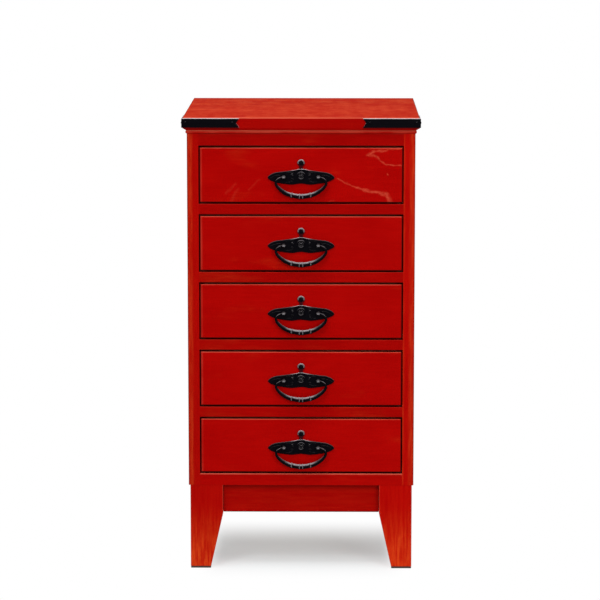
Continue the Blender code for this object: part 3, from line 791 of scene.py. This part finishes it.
leg_lacquer = lacquer_finish("leg lacquer", "Z", rubbed=rubbed_and_lit_leg, tone=leg_tone, edges=0.6,
                             thin=(0.54, 0.050, 0.0075))
pad_felt, _, shader, place = new_finish("pad felt")
felt = noise(place, (900, 900, 900), 3.0, 0.7)
felt_colour = blended(felt, (0.020, 0.010, 0.008), (0.075, 0.040, 0.028))
feed(shader, felt_colour, ramp(felt, 0.2, 0.8, 0.75, 0.95), felt, bump=(0.4, 0.0004), specular=0.5)
print("leg lacquer with", len(leg_lacquer.node_tree.nodes), "nodes")

# %% Set the four legs
def twin(piece, name, move=(0, 0, 0), flip=None, about=(0, 0, 0)):
    """A copy with its own mesh, moved or turned into its mirror image."""
    only(piece)
    bpy.ops.object.duplicate(linked=False)
    copy = bpy.context.object
    if flip:
        scale_about(about, *(-1 if axis == flip else 1 for axis in "XYZ"))
    bpy.ops.transform.translate(value=move)
    settle(copy, name)
    if flip:
        pick_all(copy)
        turn_outwards()
        done()
    return copy


rear_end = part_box("rear_left_leg")[1].y
centre = (0, (leg_low.y + rear_end) / 2, 0)
legs = {"front_left": (leg, pad_piece)}
for name, model, axis in (("front_right", "front_left", "X"), ("rear_left", "front_left", "Y"),
                          ("rear_right", "front_right", "Y")):
    names = (f"tapered_{name}_leg", f"{name}_pad")
    legs[name] = [twin(part, words, flip=axis, about=centre) for part, words in zip(legs[model], names)]
for name, (whole_leg, foot) in legs.items():
    # The rounded upright edges are paler, as wear and painted highlight.
    hand_over(whole_leg, leg_lacquer, "red_lacquer", "case", f"{name}_leg", left=0.6, right=0.6)
    hand_over(foot, pad_felt, "black_iron", "case")
print("legs:", sorted(legs))

# %% Fit the aprons
apron_gap = 0.0003
apron_shade = along("Z", case_foot - 0.013, case_foot - 0.003, 0.0, 0.27)
apron_lacquer = lacquer_finish("apron lacquer", "X", shaded=apron_shade, edges=0.15)
side_apron_lacquer = lacquer_finish("side apron lacquer", "Y", shaded=apron_shade, edges=0.15)
leg_inner_x = abs(leg_low.x) - leg_width
front_inner_y, rear_inner_y = leg_low.y + leg_width, rear_end - leg_width
for node in ("front_apron", "rear_apron", "left_apron", "right_apron"):
    low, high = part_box(node)
    if node in ("front_apron", "rear_apron"):
        low.x, high.x, finish = apron_gap - leg_inner_x, leg_inner_x - apron_gap, apron_lacquer
    else:
        low.y, high.y, finish = front_inner_y + apron_gap, rear_inner_y - apron_gap, side_apron_lacquer
    apron = start_board(f"fitted_{node}", low, high)
    ease(apron, lambda at, way: way.z < 0.1 and at.z < low.z + 0.001, 0.0016, 3)
    soften(apron)
    hand_over(apron, finish, "red_lacquer", "case", node)
print("aprons fitted between legs", round(2000 * leg_inner_x), "mm apart")

# %% [markdown]
# ## Black iron
# The fittings are hammered iron, blackened and oiled. The metal is dark with a faint blue cast, its skin
# is dimpled, and raised spots and edges are polished grey by use; the pinkish grey on faces that look up
# is also a painted highlight. The finials' necks and lower parts are a painted shade of the red front.
# One group gives colour, roughness and dimples to every fitting, and the material lays that dark red over
# it where the mark for polish and highlight is below 0.

# %% Mix the iron
iron_group, given, out = new_group("black iron", {"Place": "Vector", "Wear and light": "Float"}, finish_outputs)
dimples = noise(given["Place"], (260, 260, 260), 2.0)
scale_marks = noise(given["Place"], (700, 700, 700), 4.0, 0.6)
dark = blended(ramp(scale_marks, 0.35, 0.7), (0.0006, 0.0005, 0.0012), (0.0020, 0.0015, 0.0034))
polish_and_highlight = times(given["Wear and light"], ramp(scale_marks, 0.3, 0.6, 0.45, 1.0))
# Pinkish grey: polish with a painted highlight that mirrors the red. Dark red: a painted shade of the red front.
lit_polished_iron, neck_shade_red = (0.62, 0.56, 0.585), (0.055, 0.0022, 0.0040)
put_out(out, blended(polish_and_highlight, dark, lit_polished_iron), ramp(scale_marks, 0.25, 0.75, 0.30, 0.46), dimples)
iron, tree, shader, place = new_finish("black iron")
wear_and_light = wire(tree, "ShaderNodeAttribute", attribute_name="polish_and_highlight").outputs["Fac"]
skin = placed(iron_group, {"Place": place, "Wear and light": most(wear_and_light, 0.0)})
iron_colour = blended(times(wear_and_light, -1.0), skin["Color"], neck_shade_red)
feed(shader, iron_colour, skin["Roughness"], skin["Height"], bump=(0.5, 0.0006), specular=0.028)
print("iron group with", len(iron_group.nodes), "nodes")

# %% [markdown]
# ## Corner straps
# An iron strap wraps each front corner of the top. Its ends are cut to a fishtail, and small round
# nails hold it. The strap starts as a flat bar along the front. Its end is drawn round the corner along
# the side, and each fishtail is made by splitting the end's edges and pushing the new corners inwards.

# %% Bend a strap
strap_low, strap_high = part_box("right_corner_strap")
board_low, board_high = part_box("top_board")
sheet, strap_gap, tail = 0.0015, 0.0003, 0.006
outer_x, outer_y = board_high.x + strap_gap + sheet, board_low.y - strap_gap - sheet
middle_z = (strap_low.z + strap_high.z) / 2
ends = (("x", strap_low.x, (tail, 0, 0)), ("y", strap_high.y, (0, -tail, 0)))
strap = start_board("right_strap", (strap_low.x, outer_y, strap_low.z), (outer_x, outer_y + sheet, strap_high.z))
pick_all(strap)
bpy.ops.mesh.bisect(plane_co=(outer_x - sheet, 0, 0), plane_no=(1, 0, 0))
pick(strap, faces=lambda at, way: way.y > 0.9 and at.x > outer_x - sheet)
push(y=strap_high.y - outer_y - sheet)
done()
pick(strap, edges=lambda at, way: way.z > 0.9 and any(close_to(getattr(at, axis), end) for axis, end, _ in ends))
bpy.ops.mesh.subdivide(number_cuts=1)
done()
for axis, end, move in ends:
    pick(strap, points=lambda at: close_to(getattr(at, axis), end) and close_to(at.z, middle_z))
    bpy.ops.transform.translate(value=move)
    done()


def upper_arris(at, way):
    """The upper outer edge, which cloths have rounded and polished; the polish is also a painted highlight."""
    return close_to(at.z, strap_high.z) and (close_to(at.x, outer_x) or close_to(at.y, outer_y))


ease(strap, upper_arris, 0.0014, 3)
soften(strap, 0.0004)
print("strap of", len(strap.data.polygons), "faces")

# %% Drive the nails
def dome(name, centre, radius, height, way=(0, -1, 0), segments=20):
    """A ball cut in half and flattened to a nail's head, looking along an axis."""
    bpy.ops.object.select_all(action="DESELECT")
    bpy.ops.mesh.primitive_uv_sphere_add(segments=segments, ring_count=segments // 2, radius=1)
    head = bpy.context.object
    pick_all(head)
    bpy.ops.mesh.bisect(plane_co=(0, 0, 0), plane_no=(0, 0, 1), use_fill=True, clear_inner=True)
    done()
    head.scale = (radius, radius, height)
    head.rotation_euler = Vector(way).to_track_quat("Z", "Y").to_euler()
    head.location = centre
    return settle(head, name)


def joined(pieces, name):
    """Several pieces as one object."""
    only(pieces[0])
    for piece in pieces[1:]:
        piece.select_set(True)
    bpy.ops.object.join()
    pieces[0].name = name
    return pieces[0]


head_size, from_corner, from_end = (0.0023, 0.0011), 0.008, 0.013
heads = [dome("nail", (x, outer_y, middle_z), *head_size) for x in (outer_x - from_corner, strap_low.x + from_end)]
heads += [dome("nail", (outer_x, y, middle_z), *head_size, (1, 0, 0))
          for y in (outer_y + from_corner, strap_high.y - from_end)]
nails = joined(heads, "right_strap_nails")
left_strap = twin(strap, "left_strap", flip="X")
left_nails = twin(nails, "left_strap_nails", flip="X")
for side, band, pins in (("right", strap, nails), ("left", left_strap, left_nails)):
    # Painted highlight: faces of the straps and nail heads that look up are marked polished grey.
    hand_over(band, iron, "black_iron", "case", f"{side}_corner_strap", start=0.1, full=0.5)
    hand_over(pins, iron, "black_iron", "case", start=0.6, full=1.6)
print("nails in each strap:", len(heads))

# %% [markdown]
# ## Drawer fronts
# All five drawers are alike. The front is a thick board with softly rounded front edges, lapped at its
# ends for the sides, grooved for the bottom and bored for the handle. One front is made, and the other
# four are copies moved down. The pattern of the lacquer follows the place in the chest, so no two look
# the same.

# %% Shape a drawer front
def combine(piece, other, operation):
    """Another shape joined to a piece or taken out of it, and used up."""
    modify(piece, "BOOLEAN", operation=operation, solver="EXACT", object=other)
    bpy.data.objects.remove(other)


def cut_away(piece, low, high):
    """A box taken out of a piece."""
    combine(piece, start_board("chisel", low, high), "DIFFERENCE")


low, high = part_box("drawer_1_front")
front_end, beyond, fit, hole = high.x, 0.01, 0.0003, 0.0021
post_x, pin, standoff = 0.033, 0.0017, 0.0085
axis_y, axis_z = low.y - standoff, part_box("drawer_1_bail")[1].z - pin
front_board = start_board("drawer_1_lacquered_front", low, high)
ease(front_board, lambda at, way: close_to(at.y, low.y), 0.0032, 6)
lip, lap = low.y + 0.007, high.x - 0.0103
for sign in (-1, 1):
    cut_away(front_board, (sign * lap, lip, low.z - beyond),
             (sign * (high.x + beyond), high.y + beyond, high.z + beyond))
groove_low, groove_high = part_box("drawer_1_bottom")
cut_away(front_board, (-0.25, groove_low.y - fit, groove_low.z - fit), (0.25, high.y + beyond, groove_high.z + fit))
for x in (-post_x, post_x):
    cut_away(front_board, (x - hole, low.y - beyond, axis_z - hole), (x + hole, high.y + beyond, axis_z + hole))
print("hinge axis at", round(axis_y, 4), round(axis_z, 4))

# %% [markdown]
# ## Veins in the lacquer
# A few pale veins run over the top drawer's front, where the wood moved and the lacquer opened. They
# could be painted into a texture. Here each is a chain of strokes: a group of nodes measures how far a
# spot lies from one stroke, and a noise sways and breaks the line, so that it looks grown.

# %% Draw the veins
stroke_inputs = {"Place": "Vector", "From": "Vector", "To": "Vector", "Width": "Float"}
vein_group, given, out = new_group("vein stroke", stroke_inputs, {"Mask": "Float"})
away = vector_of("SUBTRACT", given["Place"], given["From"])
stroke = vector_of("SUBTRACT", given["To"], given["From"])
share = math_of("DIVIDE", vector_of("DOT_PRODUCT", away, stroke, output=1),
                vector_of("DOT_PRODUCT", stroke, stroke, output=1))
share = wire(vein_group, "ShaderNodeClamp", {"Value": share}).outputs[0]
distance = vector_of("DISTANCE", away, scaled(stroke, share), output=1)
put_out(out, ramp(distance, given["Width"], 0.0))

vein_lines = [
    (0.42, (0.070, 0.760, 0.0025), (0.105, 0.743, 0.003)),
    (0.75, (0.105, 0.743, 0.003), (0.119, 0.739, 0.0045), (0.149, 0.733, 0.006), (0.164, 0.730, 0.006),
     (0.170, 0.715, 0.004)),
    (0.70, (0.128, 0.806, 0.004), (0.139, 0.813, 0.0035), (0.155, 0.813, 0.003), (0.192, 0.819, 0.003)),
    (0.60, (0.128, 0.806, 0.0045), (0.146, 0.800, 0.0035), (0.155, 0.791, 0.003), (0.163, 0.787, 0.0025),
     (0.190, 0.786, 0.002)),
    (0.50, (0.1632, 0.7685, 0.003), (0.1642, 0.768, 0.003)),
    (0.20, (0.052, 0.7155, 0.003), (0.062, 0.7185, 0.003)),
    (0.11, (-0.142, 0.733, 0.004), (-0.125, 0.751, 0.003)),
    (0.12, (-0.133, 0.718, 0.005), (-0.120, 0.741, 0.003)),
    (0.12, (-0.099, 0.738, 0.003), (-0.079, 0.760, 0.002)),
]


def veins(place):
    """Pale veins, each with a strength and a chain of strokes through points of x, z and width."""
    waves = wire(place.id_data, "ShaderNodeTexNoise", {"Vector": place, "Scale": 90.0, "Detail": 3.0}).outputs[1]
    sway = vector_of("MULTIPLY", vector_of("SUBTRACT", waves, (0.5, 0.5, 0.5)), (0.010, 0.0, 0.010))
    spot = vector_of("MULTIPLY", vector_of("ADD", place, sway), (1, 0, 1))
    total = 0.0
    for strength, *points in vein_lines:
        for (x, z, width), (next_x, next_z, _) in zip(points, points[1:]):
            values = {"Place": spot, "From": (x, 0, z), "To": (next_x, 0, next_z), "Width": width}
            total = most(total, times(placed(vein_group, values)["Mask"], strength))
    return times(total, ramp(noise(place, (80, 80, 80), 4.0, 0.65), 0.3, 0.6, 0.35, 1.0))


print("veins:", len(vein_lines))

# %% Finish the drawer fronts
def rubbed_drawer(place):
    """Drawer fronts are deep red, with a few faint rubbed clouds."""
    return ramp(noise(place, (11, 11, 26), 4.0), 0.58, 0.85, 0.0, 0.22)


def front_gap_shade(place):
    """Painted shade on the edges of a front behind their rounding, inside the gaps, and most of all at its ends."""
    depth = axes(place)["Y"]
    behind_edge = times(ramp(depth, case_front + 0.0008, case_front + 0.0017),
                        ramp(depth, case_front + 0.0055, case_front + 0.0035, 0.55, 1.0))
    return most(behind_edge, ramp(outward(place), front_end - 0.0027, front_end - 0.0014, 0.0, 0.75))


def left_end_highlight(place):
    """A faint painted highlight, a pale line just inside the left end."""
    across = axes(place)["X"]
    line = times(ramp(across, 0.0059 - front_end, 0.0041 - front_end, 0.0, 0.24),
                 ramp(across, 0.0013 - front_end, 0.0027 - front_end))
    return times(line, ramp(noise(place, (30, 30, 14), 4.0), 0.35, 0.6, 0.5, 1.0))


front_masks = {"rubbed": rubbed_drawer, "dust_and_highlight": left_end_highlight, "bare": behind(0.0068, 0.0072),
               "shaded": front_gap_shade, "tone": along("Z", 0.75, 0.2, 0.99, 1.05)}
drawer_lacquer = lacquer_finish("drawer lacquer", "X", edges=0.65, **front_masks)
veined_lacquer = lacquer_finish("veined drawer lacquer", "X", edges=0.65, veined=veins, **front_masks)
floors = {number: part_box(f"drawer_{number}_front")[0].z for number in drawers}
levels = {number: axis_z + floors[number] - floors[1] for number in drawers}


def for_each_drawer(model, ending):
    """The first drawer's piece and its copies for the others, by the drawer's number."""
    pieces = {1: model}
    for number in drawers[1:]:
        pieces[number] = twin(model, f"drawer_{number}_{ending}", (0, 0, floors[number] - floors[1]))
    return pieces


fronts = for_each_drawer(front_board, "lacquered_front")
for number, board in fronts.items():
    finish = veined_lacquer if number == 1 else drawer_lacquer
    # Painted light on the rounded ends: the left one is paler, the right one darker.
    hand_over(board, finish, "red_lacquer", f"drawer_{number}", f"drawer_{number}_front", left=0.3, right=-0.35)
print("drawer fronts:", len(fronts))

# %% [markdown]
# ## Drawer boxes
# Behind each front are two sides, a back and a thin bottom of pale wood. Their grooves and housings
# come from the measured boards, and their edges are softened as a plane would leave them. The front ends
# of the sides are darkened with painted shade.

# %% Copy the drawer boxes
side_wood = wood_finish("drawer side wood", "Y", painted_shade=behind(0.016, 0.010, 0.9))
cross_wood = wood_finish("drawer bottom wood", "X")
for number in drawers:
    for part in ("left_side", "right_side", "back", "bottom"):
        node = f"drawer_{number}_{part}"
        board = clean_copy(node, f"finished_{node}")
        soften(board, 0.0005)
        hand_over(board, side_wood if "side" in part else cross_wood, "drawer_wood", f"drawer_{number}", node)
print("boards in the drawers:", 4 * len(drawers))

# %% [markdown]
# ## Handle plates
# Each handle hangs on a long pointed plate with a round finial on its crown. The plate is drawn as a
# maker would mark it on the sheet: a point is pushed along the outline, and the loop is closed, filled
# and given its thickness. A bevel rounds the rim. The relief, a ring and a nail on the finial, a flower
# in the middle, scrolls and the posts for the handle, is raised on it and united with it.

# %% Trace the plate
def traced(name, points, spot, thickness):
    """A flat outline, pushed out point by point, closed, filled and drawn out to a thickness."""
    bpy.ops.object.select_all(action="DESELECT")
    bpy.ops.mesh.primitive_plane_add(size=0.001, location=spot(*points[0]))
    piece = settle(bpy.context.object, name)
    bpy.ops.object.mode_set(mode="EDIT")
    bpy.ops.mesh.select_mode(type="VERT")
    bpy.ops.mesh.select_all(action="SELECT")
    bpy.ops.mesh.merge(type="CENTER")
    for here, there in zip(points, points[1:]):
        push(*(Vector(spot(*there)) - Vector(spot(*here))))
    bpy.ops.mesh.select_all(action="SELECT")
    bpy.ops.mesh.edge_face_add()
    bpy.ops.mesh.select_all(action="SELECT")
    push(*thickness)
    bpy.ops.mesh.select_all(action="SELECT")
    turn_outwards()
    done()
    return piece


def smooth_line(points, pieces=4):
    """More points on a smooth line through the given ones."""
    ends = [points[0], *points, points[-1]]
    line = []
    for four in zip(ends, ends[1:], ends[2:], ends[3:]):
        for part in range(pieces):
            t = part / pieces
            weights = (-t + 2 * t**2 - t**3, 2 - 5 * t**2 + 3 * t**3, t + 4 * t**2 - 3 * t**3, t**3 - t**2)
            line.append(tuple(0.5 * sum(w * point[k] for w, point in zip(weights, four)) for k in (0, 1)))
    return [*line, points[-1]]


finial_z, finial_r, neck, plate_rear, face = 0.0267, 0.0071, 0.0034, 0.0083, 0.0062
meeting = -math.acos(neck / finial_r)
right = []
for part in range(11):
    angle = math.pi / 2 + (meeting - math.pi / 2) * part / 10
    right.append((finial_r * math.cos(angle), finial_z + finial_r * math.sin(angle)))
upper = [
    (neck, 0.0154), (0.0055, 0.0152), (0.0097, 0.0141), (0.0146, 0.0132), (0.0194, 0.0125), (0.0242, 0.0118),
    (0.0350, 0.0104), (0.0436, 0.0095), (0.0485, 0.0087), (0.0534, 0.0071), (0.0582, 0.0048), (0.0618, 0.0020),
    (0.0640, -0.0011),
]
lower = [
    (0.0640, -0.0013), (0.0600, -0.0054), (0.0520, -0.0090), (0.0453, -0.0110), (0.0356, -0.0126),
    (0.0243, -0.0142), (0.0161, -0.0146), (0.0082, -0.0134), (0.0, -0.0125),
]
right += smooth_line(upper)[:-1] + smooth_line(lower)
outline = right + [(-x, z) for x, z in reversed(right[1:-1])]
plate = traced("drawer_1_plate", outline, lambda x, z: (x, plate_rear, z), (0, face - plate_rear, 0))
pick(plate, faces=lambda at, way: way.y < -0.9)
bpy.ops.mesh.region_to_loop()
bpy.ops.mesh.bevel(offset=0.0011, segments=3, affect="EDGES")
done()
print("plate of", len(plate.data.polygons), "faces from", len(outline), "points")

# %% Helpers for the relief
def ring(name, height, radius, thickness, segments=32):
    """A round ring that lies on the plate."""
    bpy.ops.object.select_all(action="DESELECT")
    bpy.ops.mesh.primitive_torus_add(major_radius=radius, minor_radius=thickness, major_segments=segments,
                                     minor_segments=12, location=(0, face, height),
                                     rotation=(math.radians(90), 0, 0))
    return settle(bpy.context.object, name)


def bar(name, points, radius, sides=3):
    """A round bar along points given as x, z and a share of its radius, in the plate's plane."""
    curve = bpy.data.curves.new(name, "CURVE")
    curve.dimensions = "3D"
    curve.bevel_depth, curve.bevel_resolution, curve.use_fill_caps = radius, sides, True
    spline = curve.splines.new("POLY")
    spline.points.add(len(points) - 1)
    for point, (x, z, share) in zip(spline.points, points):
        point.co, point.radius = (x, face, z, 1), share
    piece = bpy.data.objects.new(name, curve)
    scene.collection.objects.link(piece)
    only(piece)
    bpy.ops.object.convert(target="MESH")
    pick_all(bpy.context.object)
    bpy.ops.mesh.remove_doubles(threshold=0.000005)
    turn_outwards()
    done()
    return bpy.context.object


def scroll(name, centre, start, turns, size, tail, sign):
    """A curl that winds inwards from the end of a tail."""
    points = []
    for part in range(25):
        t = part / 24
        angle = start + sign * turns * 2 * math.pi * t
        reach = size * (1 - 0.72 * t)
        points.append((centre[0] + reach * math.cos(angle), centre[1] + reach * math.sin(angle)))
    line = smooth_line([*tail, points[0]])[:-1] + points
    count = len(line) - 1
    return bar(name, [(x, z, 0.55 + 0.45 * min(1.0, 3 * k / count)) for k, (x, z) in enumerate(line)], 0.0008)


# %% Raise the relief
flower_z, petal_reach, seat = 0.0026, 0.0037, face + 0.0001
eye_x, eye_z = 0.0166, 0.0050
petal = dome("petal", (0, seat, flower_z + petal_reach), 0.0011, 0.0012, segments=12)
pick_all(petal)
scale_about((0, face, flower_z + petal_reach), 1, 1, 1.4)
bpy.ops.mesh.spin(steps=7, dupli=True, angle=2 * math.pi * 7 / 8, center=(0, face, flower_z), axis=(0, 1, 0))
turn_outwards()
done()
crown_end = upper[5][0]
crown = smooth_line([(-x, z) for x, z in reversed(upper[1:6])] + [(0, 0.0155)] + upper[1:6])
rib = smooth_line([(0.0395, 0.0030), (0.0460, 0.0032), (0.0530, 0.0012), (0.0590, -0.0016)])
relief = [
    petal,
    ring("flower rim", flower_z, 0.0066, 0.0014, 40),
    dome("flower heart", (0, seat, flower_z), 0.0021, 0.0020),
    ring("finial rim", finial_z, 0.0053, 0.0014),
    dome("finial nail", (0, seat, finial_z - 0.0004), 0.0042, 0.0022),
    bar("crown rim", [(x, z - 0.0011, 1 - 0.6 * abs(x) / crown_end) for x, z in crown], 0.0013),
]
for sign in (1, -1):
    upper_tail = [(sign * 0.0285, 0.0080), (sign * 0.0225, 0.0088)]
    lower_tail = [(sign * 0.0290, -0.0098), (sign * 0.0225, -0.0096)]
    relief += [
        dome("curl eye", (sign * eye_x, seat, eye_z), 0.0017, 0.0016, segments=14),
        scroll("curl", (sign * eye_x, eye_z), math.pi / 2, 1.0, 0.0036, upper_tail, sign),
        scroll("curl", (sign * 0.0172, -0.0056), -math.pi / 2, 1.4, 0.0032, lower_tail, -sign),
        bar("rib", [(sign * x, z, 1 - 0.6 * k / len(rib)) for k, (x, z) in enumerate(rib)], 0.0008),
    ]
for shape in relief:
    combine(plate, shape, "UNION")
print("plate with its relief:", len(plate.data.polygons), "faces")

# %% Add the posts
post_radius, post_half, shank_half, shank_end = 0.0040, 0.0025, 0.0018, 0.0305
root = face + 0.001
post_line = [(root, -0.0032), (root, 0.0032)]
for part in range(17):
    angle = math.radians(55 + 250 * part / 16)
    post_line.append((post_radius * math.cos(angle), post_radius * math.sin(angle)))
posts = []
for x in (-post_x, post_x):
    post = traced("post", post_line, lambda y, z: (x - post_half, y, z), (2 * post_half, 0, 0))
    soften(post)
    bpy.ops.object.select_all(action="DESELECT")
    bpy.ops.mesh.primitive_cylinder_add(vertices=24, radius=hole, depth=0.02, location=(x, 0, 0),
                                        rotation=(0, math.radians(90), 0))
    combine(post, settle(bpy.context.object, "bore"), "DIFFERENCE")
    shank = start_board("shank", (x - shank_half, root, -shank_half), (x + shank_half, shank_end, shank_half))
    soften(shank, 0.0005)
    posts += [post, shank]
for shape in posts:
    combine(plate, shape, "UNION")
print("plate with posts:", len(plate.data.polygons), "faces")

# %% Set the plates
def plate_polish_and_light(level):
    """How polish, painted highlights and a painted shade of red mark a plate whose hinge axis is at a level."""

    def touched(at, way):
        """Polish with a painted highlight on the posts, the crown and the finial's ring, and a painted shade of red
        on the neck and the finial's lower part.
        """
        reach, above = abs(at.x), at.z - level
        if at.y < axis_y - 0.0025 and abs(reach - post_x) < 0.0026 and -0.0006 < above < 0.0018:
            return 0.32, 0.0
        from_finial = math.hypot(at.x, above - finial_z)
        if from_finial < finial_r + 0.0004:
            on_ring = from_finial > 0.0048 and above > finial_z - 0.0008
            on_nail = at.y < axis_y + face - 0.0003 and from_finial < 0.0047
            return (0.22, 0.44) if on_ring else (0.0 if on_nail else -0.8, 0.0)
        raised = at.y < axis_y + face - 0.0002
        if reach < 0.024 and above > 0.0108:
            on_neck = above > 0.0158 and not raised
            return (-0.8, 0.0) if on_neck else (0.0, min(0.9, max(0.13, 0.9 - 60 * (reach - 0.009))))
        on_flower = math.hypot(at.x, above - flower_z) < 0.0085
        on_eye = math.hypot(reach - eye_x, above - eye_z) < 0.0024
        return 0.0, 0.13 if not raised else 0.28 if on_flower or on_eye else 0.07

    return touched


only(plate)
bpy.ops.transform.translate(value=(0, axis_y, axis_z))
plates = for_each_drawer(settle(plate, "drawer_1_plate"), "plate")
for number, piece in plates.items():
    hand_over(piece, iron, "black_iron", f"drawer_{number}", f"drawer_{number}_handle_plate",
              touched=plate_polish_and_light(levels[number]))
print("plates:", len(plates))

# %% [markdown]
# ## Bails
# The swinging handle is a forged bar. Thin pins sit in the posts, the shoulders turn down, and the bar
# swells to a thick grip with turned rings. A bar that follows a line and changes its thickness is what a
# curve with a round bevel is for, so its line is drawn with many points, each with its own thickness.

# %% Forge a bail
collars, drop, pin_tip = (0.0033, 0.0185), 0.0365, 0.0290
sweep = [
    (0.0363, 0.0), (0.0418, -0.0023), (0.0459, -0.0060), (0.0478, -0.0104), (0.0470, -0.0142),
    (0.0440, -0.0186), (0.0380, -0.0242), (0.0275, -0.0308), (0.0150, -0.0347), (0.0, -drop),
]
sweep += [(-x, z) for x, z in reversed(sweep[:-1])]
bail_line = [(pin_tip, 0, pin), (post_x, 0, pin)]
for x, z in smooth_line(sweep, 12):
    down = -z / drop
    radius = pin + 0.0006 * min(1.0, 4 * down) + 0.0023 * max(0.0, down - 0.25) / 0.75
    for collar in collars:
        radius += 0.0009 * math.exp(-(((abs(x) - collar) / 0.0010) ** 2))
    bail_line.append((x, z, radius))
bail_line += [(-post_x, 0, pin), (-pin_tip, 0, pin)]
bail = bar("drawer_1_forged_bail", [(x, z, radius / pin) for x, z, radius in bail_line], pin, 7)
only(bail)
bpy.ops.transform.translate(value=(0, axis_y - face, axis_z))
bails = for_each_drawer(settle(bail, "drawer_1_forged_bail"), "forged_bail")
print("bails:", len(bails), "each of", len(bail.data.polygons), "faces")

# %% Set the bails
def bail_polish_and_light(level):
    """How hands have polished a bail whose hinge axis is at a level, with a painted highlight."""

    def gripped_and_lit(at, way):
        """Polish with a painted highlight: the middle brightest, then the arms beside the posts, and the collars
        nearly all round.
        """
        reach = abs(at.x)
        on_collar = min(abs(reach - collar) for collar in collars) < 0.0008
        if on_collar and way.z > -0.6:
            return 0.28, 0.2
        if reach > 0.034 and -0.006 < at.z - level < 0:
            return 0.0, 0.34
        return 0.0, min(0.62, max(0.16, 0.62 - 42 * (reach - 0.021)))

    return gripped_and_lit


for number, piece in bails.items():
    hand_over(piece, iron, "black_iron", f"bail_{number}", f"drawer_{number}_bail", start=0.48, full=0.72,
              touched=bail_polish_and_light(levels[number]))
print("bails polished at levels", [round(level, 3) for level in levels.values()])

# %% [markdown]
# ## Size of the dressed chest
# The dressed chest must keep the measured chest's size; its size is printed in millimetres.

# %% Print the size of the dressed chest
low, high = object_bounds()
print("dressed chest, mm:", [round(1000 * side) for side in high - low])
